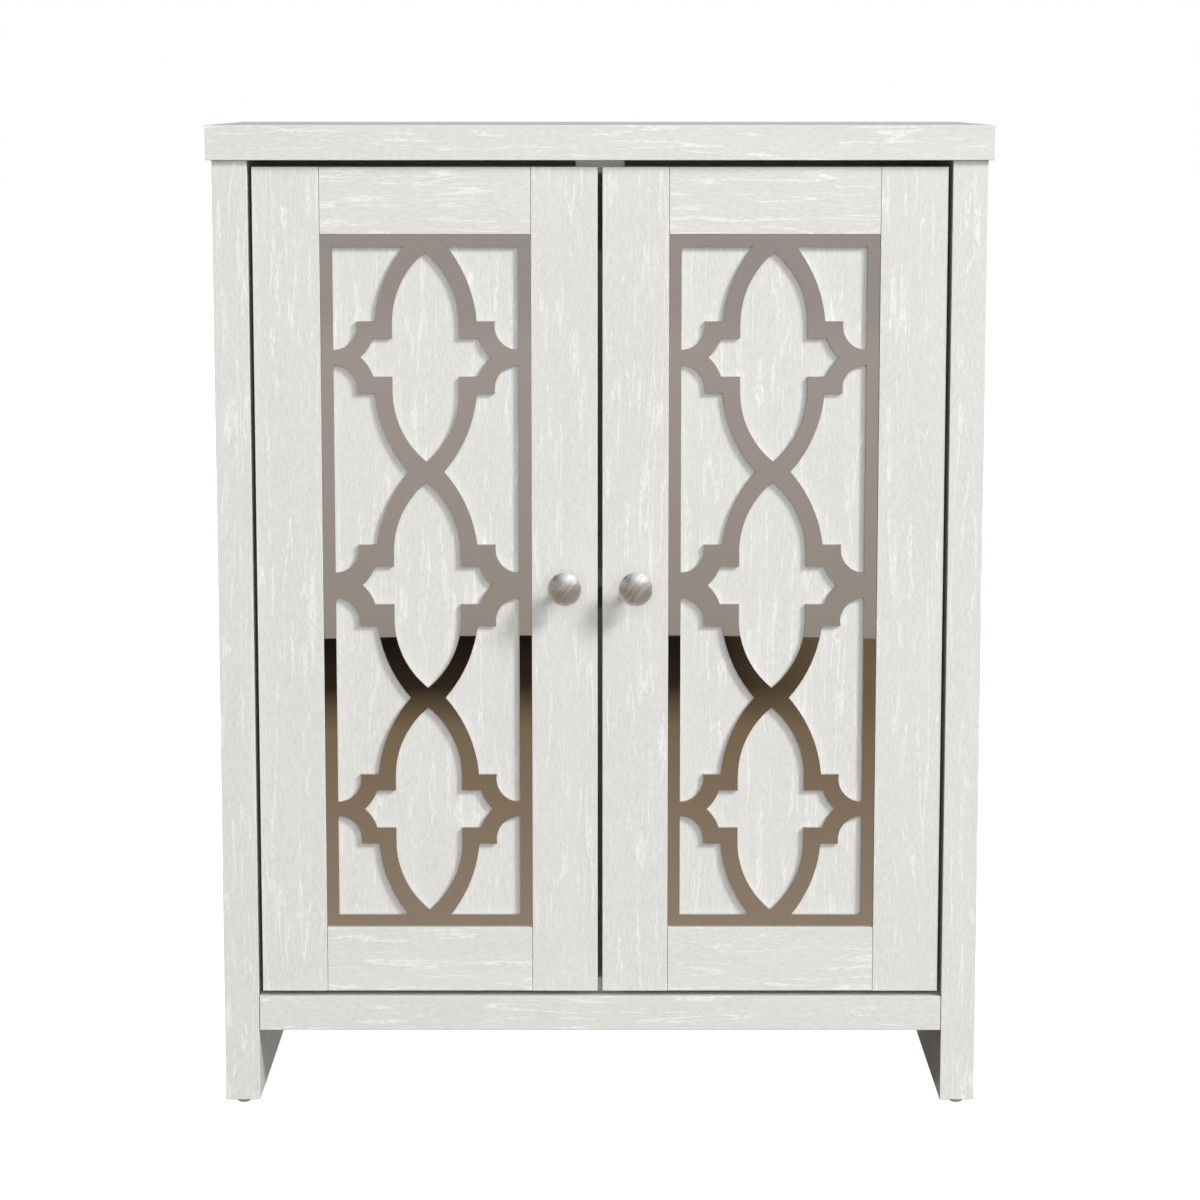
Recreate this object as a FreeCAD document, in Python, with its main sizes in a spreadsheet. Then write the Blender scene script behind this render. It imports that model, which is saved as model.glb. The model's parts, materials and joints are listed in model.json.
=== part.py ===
import FreeCAD, Part

import os
import re
from math import atan2, sqrt

import Sketcher
from FreeCAD import Vector

# Freestanding bathroom cabinet: thick laminated boards on floor glides, one loose shelf, and two
# inset framed doors that each carry a mirror fret and hang on single-pivot concealed hinges.
# Millimetres. X runs right, Y back and Z up; the floor is Z = 0, and X = Y = 0 is the middle of
# the cabinet's box, knobs included. The left-hand pieces are drawn, the right-hand ones mirrored.

SIZES = {
    # carcass boards
    "top_width": 635.0,
    "top_depth": 299.0,
    "top_thickness": 28.0,
    "top_front_overhang": 4.0,
    "top_side_overhang": 4.5,
    "side_thickness": 28.5,
    "side_height": 780.8,
    "leg_height": 59.9,
    "bottom_thickness": 29.0,
    "board_ease": 0.5,
    # back panel in its grooves
    "back_thickness": 3.0,
    "back_inset": 25.0,
    "back_groove_depth": 8.0,
    "back_end_gap": 0.8,
    "groove_fit": 0.2,
    # shelf on four pins in rows of holes
    "shelf_thickness": 15.0,
    "shelf_level": 337.8,
    "shelf_setback": 30.0,
    "shelf_end_gap": 0.8,
    "shelf_back_gap": 2.0,
    "shelf_pin_inset": 32.0,
    "shelf_pin_diameter": 5.0,
    "shelf_pin_seat": 8.0,
    "shelf_tab_length": 10.0,
    "shelf_tab_width": 9.0,
    "shelf_tab_thickness": 2.4,
    "shelf_hole_spacing": 32.0,
    # nail-on floor glides
    "glide_height": 3.0,
    "glide_diameter": 12.0,
    "glide_setback": 7.5,
    "glide_nail_diameter": 2.4,
    "glide_nail_length": 16.0,
    # knock-down joints between top, sides and bottom
    "cam_diameter": 15.0,
    "cam_depth": 19.0,
    "cam_distance": 34.0,
    "cam_setback": 60.0,
    "cam_slot_length": 10.8,
    "cam_slot_width": 2.0,
    "cam_slot_depth": 3.0,
    "bolt_thread_diameter": 6.0,
    "bolt_thread_length": 11.0,
    "bolt_neck_diameter": 4.6,
    "bolt_head_diameter": 6.8,
    "bolt_head_length": 4.0,
    "dowel_diameter": 8.0,
    "dowel_length": 30.0,
    "dowel_setback": 100.0,
    "hole_fit": 0.1,
    # doors
    "door_recess": 3.0,
    "door_thickness": 18.0,
    "door_side_gap": 3.35,
    "door_middle_gap": 4.0,
    "door_top_gap": 5.4,
    "door_bottom_gap": 4.2,
    "door_ease": 0.4,
    "stile_width": 54.0,
    "rail_width": 54.0,
    "rail_end_gap": 0.3,
    "panel_thickness": 5.0,
    "panel_groove_depth": 8.0,
    "panel_end_gap": 0.8,
    # mirror fret on the door panel
    "fret_thickness": 3.4,
    "fret_recess": 3.0,
    "fret_edge_gap": 0.2,
    "fret_border": 10.2,
    "fret_end_overlap": 4.0,
    "ribbon_width": 14.4,
    "corner_radius": 19.5,
    "corner_lip": 3.7,
    "neck_width": 12.0,
    "middle_neck_width": 20.8,
    "tip_radius": 33.7,
    "inner_shoulder": 15.8,
    "inner_arc_start": 28.0,
    "outer_arc_start": 20.0,
    "crossing_tip": 8.2,
    "crossing_notch": 14.2,
    # knob and its screw
    "knob_diameter": 27.4,
    "knob_length": 28.0,
    "knob_base_diameter": 12.0,
    "knob_base_length": 1.5,
    "knob_cove_depth": 5.8,
    "knob_rim_length": 2.4,
    "knob_dome_height": 6.2,
    "knob_screw_diameter": 4.0,
    "knob_screw_grip": 11.0,
    "knob_screw_head_diameter": 8.4,
    "knob_screw_head_length": 2.6,
    # concealed hinges
    "hinge_end_distance": 95.0,
    "hinge_pin_setback": 16.0,
    "hinge_pin_depth": 10.0,
    "hinge_pin_diameter": 3.2,
    "running_fit": 0.05,
    "cup_setback": 22.0,
    "cup_diameter": 35.0,
    "cup_depth": 12.5,
    "cup_wall": 1.0,
    "cup_flange_thickness": 1.0,
    "cup_rim_width": 2.0,
    "cup_wing_width": 16.0,
    "cup_wing_length": 56.0,
    "cup_screw_offset": 9.5,
    "cup_screw_spacing": 45.0,
    "arm_thickness": 2.4,
    "arm_height": 14.0,
    "arm_reach": 12.4,
    "arm_back": 20.2,
    "arm_tail": 58.0,
    "arm_bend_radius": 1.5,
    "knuckle_diameter": 5.8,
    "plate_thickness": 4.0,
    "plate_start": 24.0,
    "plate_end": 63.0,
    "plate_height": 18.0,
    "plate_wing_height": 46.0,
    "plate_wing_width": 15.0,
    "plate_screw_setback": 50.0,
    "plate_screw_spacing": 32.0,
    "arm_screw_setback": 37.0,
    "arm_screw_diameter": 4.0,
    "arm_screw_head_diameter": 8.0,
    "arm_screw_head_length": 2.2,
    # wood screws of hinges, strikes and catches
    "wood_screw_diameter": 3.4,
    "wood_screw_head_diameter": 6.6,
    "wood_screw_head_length": 2.0,
    "wood_screw_length": 13.0,
    # magnetic catches and their strikes
    "catch_width": 40.0,
    "catch_depth": 22.0,
    "catch_height": 11.0,
    "catch_ease": 1.0,
    "catch_gap": 0.3,
    "magnet_width": 12.0,
    "magnet_depth": 10.0,
    "magnet_height": 9.0,
    "magnet_cover": 1.0,
    "magnet_offset": 11.0,
    "catch_screw_setback": 16.5,
    "strike_width": 14.0,
    "strike_height": 12.0,
    "strike_thickness": 1.2,
    "strike_end_distance": 1.5,
}

# Levels and planes that several pieces share, written as formulas of the sizes above.
SIDE_DEPTH = "(top_depth - top_front_overhang)"
FRONT = f"((knob_length - door_recess - {SIDE_DEPTH}) / 2)"
REAR = f"({FRONT} + {SIDE_DEPTH})"
CARCASS_HALF = "(top_width / 2 - top_side_overhang)"
INNER_HALF = f"({CARCASS_HALF} - side_thickness)"
SIDE_MIDDLE = f"({INNER_HALF} + side_thickness / 2)"
TOP_UNDER = "(glide_height + side_height)"
BOTTOM_UNDER = "(glide_height + leg_height)"
BOTTOM_TOP = f"({BOTTOM_UNDER} + bottom_thickness)"
BACK_FACE = f"({REAR} - back_inset - back_thickness)"
DOOR_FRONT = f"({FRONT} + door_recess)"
DOOR_BACK = f"({DOOR_FRONT} + door_thickness)"
DOOR_EDGE = f"({INNER_HALF} - door_side_gap)"
DOOR_WIDTH = f"({DOOR_EDGE} - door_middle_gap / 2)"
DOOR_BOTTOM = f"({BOTTOM_TOP} + door_bottom_gap)"
DOOR_HEIGHT = f"({TOP_UNDER} - door_top_gap - {DOOR_BOTTOM})"
OPENING_WIDTH = f"({DOOR_WIDTH} - 2 * stile_width)"
OPENING_HEIGHT = f"({DOOR_HEIGHT} - 2 * rail_width)"
PANEL_FACE = "(fret_recess + fret_thickness)"
SHELF_FRONT = f"({DOOR_BACK} + shelf_setback)"
SHELF_BACK = f"({BACK_FACE} - shelf_back_gap)"
SHELF_UNDER = f"({BOTTOM_TOP} + shelf_level)"
SHELF_PIN_LEVEL = f"({SHELF_UNDER} - (shelf_pin_diameter + shelf_tab_thickness) / 2)"
CAM_ROWS = (f"{FRONT} + cam_setback", f"{REAR} - cam_setback")
DOWEL_ROWS = (f"{FRONT} + dowel_setback", f"{REAR} - dowel_setback")
GLIDE_ROWS = (f"{FRONT} + glide_setback", f"{REAR} - glide_setback")
SHELF_PIN_ROWS = (f"{SHELF_FRONT} + shelf_pin_inset", f"{SHELF_BACK} - shelf_pin_inset")
HINGE_PIN_X = f"(hinge_pin_setback - {DOOR_EDGE})"
HINGE_PIN_Y = f"({DOOR_FRONT} + hinge_pin_depth)"
HINGE_LOW = f"({DOOR_BOTTOM} + hinge_end_distance)"
HINGE_SPACING = f"({DOOR_HEIGHT} - 2 * hinge_end_distance)"
CATCH_FACE = f"({DOOR_BACK} + strike_thickness + catch_gap)"
CATCH_MIDDLE = f"(({TOP_UNDER} + {BOTTOM_TOP}) / 2)"
STRIKE_LOW = "(strike_end_distance + strike_height / 2)"
STRIKE_FROM_EDGE = "(magnet_offset - door_middle_gap / 2)"
BOTH_SIDES = ("-", "")

# Ways in which the length of a turned fitting can lie: upright, to the left, or to the front.
UPRIGHT = FreeCAD.Rotation()
TO_LEFT = FreeCAD.Rotation(Vector(0, 1, 0), -90)
TO_FRONT = FreeCAD.Rotation(Vector(1, 0, 0), 90)

doc = FreeCAD.newDocument("bathroom_cabinet")
sheet = doc.addObject("Spreadsheet::Sheet", "Sizes")
for row, (alias, value) in enumerate(SIZES.items(), start=1):
    sheet.set(f"A{row}", alias)
    sheet.set(f"B{row}", str(value))
    sheet.setAlias(f"B{row}", alias)
doc.recompute()

sub_parts = []


def sized(formula):
    """The formula with each size written as a reference to its cell in the sheet."""
    return re.sub(r"[a-z_]+", lambda word: f"Sizes.{word[0]}" if word[0] in SIZES else word[0], formula)


def number(formula):
    return float(sheet.evalExpression(sized(formula)))


def bind(feature, setting, formula):
    feature.setExpression(setting, sized(formula))


def new_body(label, x="0", y="0", z="0", lying=UPRIGHT):
    """An empty body whose place follows the three formulas and whose own Z axis lies as given."""
    body = doc.addObject("PartDesign::Body", label)
    body.Label = label
    body.Placement = FreeCAD.Placement(Vector(), lying)
    for axis, formula in zip("xyz", (x, y, z)):
        bind(body, f"Placement.Base.{axis}", formula)
    sub_parts.append(body)
    return body


def origin(body, role):
    return next(feature for feature in body.Origin.OriginFeatures if feature.Role == role)


def sketch(body, name, role, lift="0"):
    """A sketch on one of the body's origin planes, lifted along the plane's normal."""
    drawing = body.newObject("Sketcher::SketchObject", f"{body.Label}_{name}")
    drawing.AttachmentSupport = (origin(body, role), [""])
    drawing.MapMode = "FlatFace"
    bind(drawing, "AttachmentOffset.Base.z", lift)
    return drawing


def dimension(drawing, kind, ends, formula):
    """A driving dimension of the sketch that follows the formula."""
    index = drawing.addConstraint(Sketcher.Constraint(kind, *ends, number(formula)))
    bind(drawing, f"Constraints[{index}]", formula)


def arc_between(start, end, radius, bend):
    """The shorter arc from start to end, its centre on the left for bend +1 and on the right for -1."""
    chord = end - start
    left = Vector(-chord.y, chord.x, 0).normalize()
    centre = (start + end) / 2 + left * bend * sqrt(radius ** 2 - (chord.Length / 2) ** 2)
    first, last = (start, end) if bend > 0 else (end, start)
    angles = [atan2(point.y - centre.y, point.x - centre.x) for point in (first, last)]
    return Part.ArcOfCircle(Part.Circle(centre, Vector(0, 0, 1), radius), *angles)


def outline(drawing, *steps):
    """Close a loop through steps of (across, up) or (across, up, radius, bend).

    A step with a radius starts an arc to the next step. Every corner and radius follows its formula.
    """
    points = [Vector(number(step[0]), number(step[1]), 0) for step in steps]
    loop = []
    for step, start, end in zip(steps, points, points[1:] + points[:1]):
        if len(step) == 2:
            loop.append((drawing.addGeometry(Part.LineSegment(start, end), False), 1, 2))
            continue
        radius, bend = step[2:]
        edge = drawing.addGeometry(arc_between(start, end, number(radius), bend), False)
        loop.append((edge, 1, 2) if bend > 0 else (edge, 2, 1))
    for (edge, _, end), (following, start, _) in zip(loop, loop[1:] + loop[:1]):
        drawing.addConstraint(Sketcher.Constraint("Coincident", edge, end, following, start))
    for step, (edge, start, _) in zip(steps, loop):
        dimension(drawing, "DistanceX", (-1, 1, edge, start), step[0])
        dimension(drawing, "DistanceY", (-1, 1, edge, start), step[1])
        if len(step) > 2:
            dimension(drawing, "Radius", (edge,), step[2])


def rectangle(drawing, left, low, right, high):
    outline(drawing, (left, low), (right, low), (right, high), (left, high))


def circle(drawing, across, up, diameter):
    shape = Part.Circle(Vector(number(across), number(up), 0), Vector(0, 0, 1), number(diameter) / 2)
    edge = drawing.addGeometry(shape, False)
    dimension(drawing, "DistanceX", (-1, 1, edge, 3), across)
    dimension(drawing, "DistanceY", (-1, 1, edge, 3), up)
    dimension(drawing, "Diameter", (edge,), diameter)


def add_feature(body, kind, drawing):
    feature = body.newObject(f"PartDesign::{kind}", f"{drawing.Name}_{kind.lower()}")
    feature.Profile = drawing
    return feature


def pad(body, drawing, length, reverse=False, midplane=False):
    feature = add_feature(body, "Pad", drawing)
    bind(feature, "Length", length)
    feature.Reversed = reverse
    feature.Midplane = midplane
    doc.recompute()
    return feature


def pocket(body, drawing, depth, reverse=False, midplane=False):
    """Cut the sketch into the body, against the sketch's normal, or along it when reversed."""
    before = body.Shape.Volume
    feature = add_feature(body, "Pocket", drawing)
    bind(feature, "Length", depth)
    feature.Reversed = reverse
    feature.Midplane = midplane
    doc.recompute()
    if not body.Shape.Volume < before:
        raise RuntimeError(f"{feature.Name} removes nothing")
    return feature


def turn(body, drawing, axis="V_Axis"):
    """Turn the sketch a full circle about one of its own axes."""
    feature = add_feature(body, "Revolution", drawing)
    feature.ReferenceAxis = (drawing, [axis])
    feature.Angle = 360
    doc.recompute()
    return feature


def ease(body, feature, radius, wanted):
    """Round the edges of the feature that the test picks."""
    names = [f"Edge{i}" for i, edge in enumerate(feature.Shape.Edges, start=1) if wanted(edge)]
    rounding = body.newObject("PartDesign::Fillet", f"{body.Label}_eased")
    rounding.Base = (feature, names)
    bind(rounding, "Radius", radius)
    doc.recompute()
    return rounding


def repeat_along(body, role, spacing, feature=None, count="2"):
    """Repeat one feature, or the whole body, in an even row along one of the body's axes."""
    row = body.newObject("PartDesign::LinearPattern", f"{body.Label}_row")
    if feature is None:
        row.TransformMode = "Whole shape"
    else:
        row.Originals = [feature]
    row.Direction = (origin(body, role), [""])
    row.Mode = "Spacing"
    bind(row, "Offset", spacing)
    bind(row, "Occurrences", count)
    body.Tip = row
    doc.recompute()


def repeat_mirrored(body, role="YZ_Plane"):
    """Add the whole body's mirror image in one of its origin planes."""
    image = body.newObject("PartDesign::Mirrored", f"{body.Label}_pair")
    image.TransformMode = "Whole shape"
    image.MirrorPlane = (origin(body, role), [""])
    body.Tip = image
    doc.recompute()


def mirrored(source, label, normal=Vector(1, 0, 0), height="0"):
    """A sub-part that mirrors another, in a plane through the middle or at the given height."""
    image = doc.addObject("Part::Mirroring", label)
    image.Label = label
    image.Source = source
    image.Normal = normal
    bind(image, "Base.z", height)
    doc.recompute()
    sub_parts.append(image)


def at_front(formula):
    """Test for edges that lie on the plane Y = formula."""
    level = number(formula)
    return lambda edge: abs(edge.BoundBox.YMin - level) + abs(edge.BoundBox.YMax - level) < 0.001


# Carcass boards

def make_top_panel():
    """Top board with eased edges, a groove for the back, and blind holes on its underside."""
    body = new_body("top_panel", z=TOP_UNDER)
    plan = sketch(body, "plan", "XY_Plane")
    front_edge = f"{FRONT} - top_front_overhang"
    rectangle(plan, "-top_width / 2", front_edge, "top_width / 2", REAR)
    board = pad(body, plan, "top_thickness")
    ease(body, board, "board_ease", lambda edge: True)
    groove = sketch(body, "groove", "XY_Plane")
    reach = f"({INNER_HALF} + back_groove_depth)"
    rectangle(groove, f"-{reach}", f"{BACK_FACE} - groove_fit",
              reach, f"{BACK_FACE} + back_thickness + groove_fit")
    pocket(body, groove, "back_groove_depth", reverse=True)
    bolts = sketch(body, "bolt_holes", "XY_Plane")
    dowels = sketch(body, "dowel_holes", "XY_Plane")
    for sign in BOTH_SIDES:
        for cam_row, dowel_row in zip(CAM_ROWS, DOWEL_ROWS):
            circle(bolts, f"{sign}{SIDE_MIDDLE}", cam_row, "bolt_thread_diameter + hole_fit")
            circle(dowels, f"{sign}{SIDE_MIDDLE}", dowel_row, "dowel_diameter + hole_fit")
    pocket(body, bolts, "bolt_thread_length + hole_fit", reverse=True)
    pocket(body, dowels, "dowel_length / 2 + hole_fit", reverse=True)
    screws = sketch(body, "catch_screw_holes", "XY_Plane")
    for sign in BOTH_SIDES:
        circle(screws, f"{sign}magnet_offset", f"{CATCH_FACE} + catch_screw_setback",
               "wood_screw_diameter + hole_fit")
    pocket(body, screws, "wood_screw_length", reverse=True)


def make_side_panels():
    """Full-height side boards that end in the legs, grooved for the back and bored for the fittings."""
    body = new_body("left_side_panel", z="glide_height")
    plan = sketch(body, "plan", "XY_Plane")
    groove_floor = f"-{INNER_HALF} - back_groove_depth"
    groove_front = f"{BACK_FACE} - groove_fit"
    groove_rear = f"{BACK_FACE} + back_thickness + groove_fit"
    outline(plan,
            (f"-{CARCASS_HALF}", FRONT), (f"-{INNER_HALF}", FRONT),
            (f"-{INNER_HALF}", groove_front), (groove_floor, groove_front),
            (groove_floor, groove_rear), (f"-{INNER_HALF}", groove_rear),
            (f"-{INNER_HALF}", REAR), (f"-{CARCASS_HALF}", REAR))
    board = pad(body, plan, "side_height")
    ease(body, board, "board_ease", at_front(FRONT))

    bolt_sockets = sketch(body, "bolt_sockets", "XY_Plane", "side_height")
    dowel_sockets = sketch(body, "dowel_sockets", "XY_Plane", "side_height")
    cams = sketch(body, "cam_bores", "YZ_Plane", f"-{INNER_HALF}")
    bolts = sketch(body, "bolt_holes", "YZ_Plane", f"-{INNER_HALF}")
    dowels = sketch(body, "dowel_holes", "YZ_Plane", f"-{INNER_HALF}")
    bottom_line = "leg_height + bottom_thickness / 2"
    for cam_row, dowel_row in zip(CAM_ROWS, DOWEL_ROWS):
        circle(bolt_sockets, f"-{SIDE_MIDDLE}", cam_row, "bolt_head_diameter + 2 * hole_fit")
        circle(dowel_sockets, f"-{SIDE_MIDDLE}", dowel_row, "dowel_diameter + hole_fit")
        circle(cams, cam_row, "side_height - cam_distance", "cam_diameter")
        circle(bolts, cam_row, bottom_line, "bolt_thread_diameter + hole_fit")
        circle(dowels, dowel_row, bottom_line, "dowel_diameter + hole_fit")
    pocket(body, bolt_sockets, "cam_distance")
    pocket(body, dowel_sockets, "dowel_length / 2 + hole_fit")
    pocket(body, cams, "cam_depth")
    pocket(body, bolts, "bolt_thread_length + hole_fit")
    pocket(body, dowels, "dowel_length / 2 + hole_fit")

    pin_holes = sketch(body, "shelf_pin_holes", "YZ_Plane", f"-{INNER_HALF}")
    for pin_row in SHELF_PIN_ROWS:
        for step in range(-2, 3):
            circle(pin_holes, pin_row,
                   f"{SHELF_PIN_LEVEL} - glide_height + {step} * shelf_hole_spacing",
                   "shelf_pin_diameter + hole_fit")
    pocket(body, pin_holes, "shelf_pin_seat + hole_fit")

    screws = sketch(body, "hinge_screw_holes", "YZ_Plane", f"-{INNER_HALF}")
    for hinge in (HINGE_LOW, f"{HINGE_LOW} + {HINGE_SPACING}"):
        for sign in BOTH_SIDES:
            circle(screws, f"{HINGE_PIN_Y} + plate_screw_setback",
                   f"{hinge} - glide_height + {sign}plate_screw_spacing / 2",
                   "wood_screw_diameter + hole_fit")
    pocket(body, screws, "wood_screw_length")

    nails = sketch(body, "glide_nail_holes", "XY_Plane")
    for glide_row in GLIDE_ROWS:
        circle(nails, f"-{SIDE_MIDDLE}", glide_row, "glide_nail_diameter + hole_fit")
    pocket(body, nails, "glide_nail_length + hole_fit", reverse=True)
    mirrored(body, "right_side_panel")


def make_bottom_panel():
    """Bottom board between the sides, its front edge flush with theirs."""
    body = new_body("bottom_panel", z=BOTTOM_UNDER)
    plan = sketch(body, "plan", "XY_Plane")
    rectangle(plan, f"-{INNER_HALF}", FRONT, INNER_HALF, BACK_FACE)
    board = pad(body, plan, "bottom_thickness")
    ease(body, board, "board_ease", at_front(FRONT))
    cams = sketch(body, "cam_bores", "XY_Plane")
    for sign in BOTH_SIDES:
        for cam_row in CAM_ROWS:
            circle(cams, f"{sign}({INNER_HALF} - cam_distance)", cam_row, "cam_diameter")
    pocket(body, cams, "cam_depth", reverse=True)
    for sign, inward in zip(BOTH_SIDES, (True, False)):
        end = "left" if inward else "right"
        bolts = sketch(body, f"{end}_bolt_sockets", "YZ_Plane", f"{sign}{INNER_HALF}")
        dowels = sketch(body, f"{end}_dowel_sockets", "YZ_Plane", f"{sign}{INNER_HALF}")
        for cam_row, dowel_row in zip(CAM_ROWS, DOWEL_ROWS):
            circle(bolts, cam_row, "bottom_thickness / 2", "bolt_head_diameter + 2 * hole_fit")
            circle(dowels, dowel_row, "bottom_thickness / 2", "dowel_diameter + hole_fit")
        pocket(body, bolts, "cam_distance", reverse=inward)
        pocket(body, dowels, "dowel_length / 2 + hole_fit", reverse=inward)
    screws = sketch(body, "catch_screw_holes", "XY_Plane", "bottom_thickness")
    for sign in BOTH_SIDES:
        circle(screws, f"{sign}magnet_offset", f"{CATCH_FACE} + catch_screw_setback",
               "wood_screw_diameter + hole_fit")
    pocket(body, screws, "wood_screw_length")


def make_back_panel():
    """Thin back that slides in the grooves of the sides and top and covers the bottom's rear edge."""
    body = new_body("back_panel", y=BACK_FACE, z=BOTTOM_UNDER)
    face = sketch(body, "face", "XZ_Plane")
    reach = f"({INNER_HALF} + back_groove_depth - back_end_gap)"
    rectangle(face, f"-{reach}", "0", reach,
              f"{TOP_UNDER} - {BOTTOM_UNDER} + back_groove_depth - back_end_gap")
    pad(body, face, "back_thickness", reverse=True)


def make_shelf():
    body = new_body("shelf", z=SHELF_UNDER)
    plan = sketch(body, "plan", "XY_Plane")
    half = f"({INNER_HALF} - shelf_end_gap)"
    rectangle(plan, f"-{half}", SHELF_FRONT, half, SHELF_BACK)
    board = pad(body, plan, "shelf_thickness")
    ease(body, board, "board_ease", at_front(SHELF_FRONT))


# Carcass fittings

def make_shelf_pins():
    """Push-in pins with a flat tab under the shelf and a small web below the tab."""
    body = new_body("shelf_pins", y=SHELF_PIN_ROWS[0], z=SHELF_PIN_LEVEL)
    peg = sketch(body, "peg", "YZ_Plane", f"-{INNER_HALF} - shelf_pin_seat")
    circle(peg, "0", "0", "shelf_pin_diameter")
    pad(body, peg, "shelf_pin_seat + shelf_tab_length / 2")
    tab = sketch(body, "tab", "XY_Plane", "(shelf_pin_diameter - shelf_tab_thickness) / 2")
    rectangle(tab, f"-{INNER_HALF} + hole_fit", "-shelf_tab_width / 2",
              f"-{INNER_HALF} + shelf_tab_length", "shelf_tab_width / 2")
    pad(body, tab, "shelf_tab_thickness")
    web = sketch(body, "web", "XZ_Plane")
    outline(web,
            (f"-{INNER_HALF} + hole_fit", "-shelf_pin_diameter / 2"),
            (f"-{INNER_HALF} + shelf_tab_thickness", "-shelf_pin_diameter / 2"),
            (f"-{INNER_HALF} + shelf_tab_length", "shelf_pin_diameter / 2"),
            (f"-{INNER_HALF} + hole_fit", "shelf_pin_diameter / 2"))
    pad(body, web, "shelf_tab_thickness", midplane=True)
    repeat_along(body, "Y_Axis", f"{SHELF_PIN_ROWS[1]} - ({SHELF_PIN_ROWS[0]})")
    repeat_mirrored(body)


def make_floor_glides():
    """Domed plastic glides nailed into the feet of the side boards."""
    body = new_body("floor_glides", x=f"-{SIDE_MIDDLE}", y=GLIDE_ROWS[0])
    profile = sketch(body, "profile", "XZ_Plane")
    sole = "(glide_diameter / 2 - glide_height * 0.6)"
    nail = "(glide_nail_diameter / 2)"
    outline(profile,
            ("0", "0"), (sole, "0", "glide_height", 1), ("glide_diameter / 2", "glide_height * 0.7"),
            ("glide_diameter / 2", "glide_height"), (nail, "glide_height"),
            (nail, "glide_height + glide_nail_length * 0.85"), ("0", "glide_height + glide_nail_length"))
    turn(body, profile)
    repeat_along(body, "X_Axis", f"2 * {SIDE_MIDDLE}")
    repeat_along(body, "Y_Axis", f"{GLIDE_ROWS[1]} - ({GLIDE_ROWS[0]})")


def make_cam_lock(body, face_role, lift, across, up, bolt_role, bolt_middle, reverse):
    """One eccentric lock: a drum with a driver slot and a side bore for the bolt's head."""
    drum_drawing = sketch(body, "drum", face_role, lift)
    circle(drum_drawing, across, up, "cam_diameter - 2 * hole_fit")
    pad(body, drum_drawing, "cam_depth - hole_fit", reverse=reverse)
    slot = sketch(body, "slot", face_role, lift)
    rectangle(slot, f"{across} - cam_slot_length / 2", f"{up} - cam_slot_width / 2",
              f"{across} + cam_slot_length / 2", f"{up} + cam_slot_width / 2")
    pocket(body, slot, "cam_slot_depth", reverse=not reverse)
    side_bore = sketch(body, "side_bore", bolt_role, bolt_middle[2])
    circle(side_bore, bolt_middle[0], bolt_middle[1], "bolt_head_diameter + 2 * hole_fit")
    return side_bore


def make_top_cam_locks():
    """Locks in the inner faces of the sides, drawn down on the bolts of the top."""
    body = new_body("top_cam_locks", y=CAM_ROWS[0], z=f"{TOP_UNDER} - cam_distance")
    side_bore = make_cam_lock(body, "YZ_Plane", f"-{INNER_HALF}", "0", "0",
                              "XY_Plane", (f"-{SIDE_MIDDLE}", "0", "-bolt_head_length"), reverse=True)
    pocket(body, side_bore, "cam_diameter", reverse=True)
    repeat_along(body, "Y_Axis", f"{CAM_ROWS[1]} - ({CAM_ROWS[0]})")
    repeat_mirrored(body)


def make_bottom_cam_locks():
    """Locks in the underside of the bottom, drawn out on the bolts of the sides."""
    body = new_body("bottom_cam_locks", y=CAM_ROWS[0], z=BOTTOM_UNDER)
    middle = f"-({INNER_HALF} - cam_distance)"
    side_bore = make_cam_lock(body, "XY_Plane", "0", middle, "0", "YZ_Plane",
                              ("0", "bottom_thickness / 2", f"{middle} + bolt_head_length"),
                              reverse=False)
    pocket(body, side_bore, "cam_diameter")
    repeat_along(body, "Y_Axis", f"{CAM_ROWS[1]} - ({CAM_ROWS[0]})")
    repeat_mirrored(body)


def turn_bolt(body, joint="0"):
    """Connecting bolt about the body's Z axis: the thread beyond the joint line, the head before it."""
    profile = sketch(body, "profile", "XZ_Plane")
    thread = "(bolt_thread_diameter / 2)"
    neck = "(bolt_neck_diameter / 2)"
    head = "(bolt_head_diameter / 2)"
    tip = f"({joint} - cam_distance - bolt_head_length / 2)"
    outline(profile,
            ("0", tip), (head, tip), (head, f"{tip} + bolt_head_length * 0.7"),
            (neck, f"{tip} + bolt_head_length"), (neck, joint), (thread, joint),
            (thread, f"{joint} + bolt_thread_length"), ("0", f"{joint} + bolt_thread_length"))
    turn(body, profile)


def make_cam_bolts():
    """Bolts that hang from the top into the sides, and ones that stand out of the sides into the bottom."""
    top = new_body("top_cam_bolts", x=f"-{SIDE_MIDDLE}", y=CAM_ROWS[0], z=TOP_UNDER)
    turn_bolt(top)
    repeat_along(top, "X_Axis", f"2 * {SIDE_MIDDLE}")
    repeat_along(top, "Y_Axis", f"{CAM_ROWS[1]} - ({CAM_ROWS[0]})")
    low = new_body("bottom_cam_bolts", y=CAM_ROWS[0], z=f"{BOTTOM_UNDER} + bottom_thickness / 2",
                   lying=TO_LEFT)
    turn_bolt(low, INNER_HALF)
    repeat_along(low, "Y_Axis", f"{CAM_ROWS[1]} - ({CAM_ROWS[0]})")
    repeat_mirrored(low, "XY_Plane")


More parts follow.
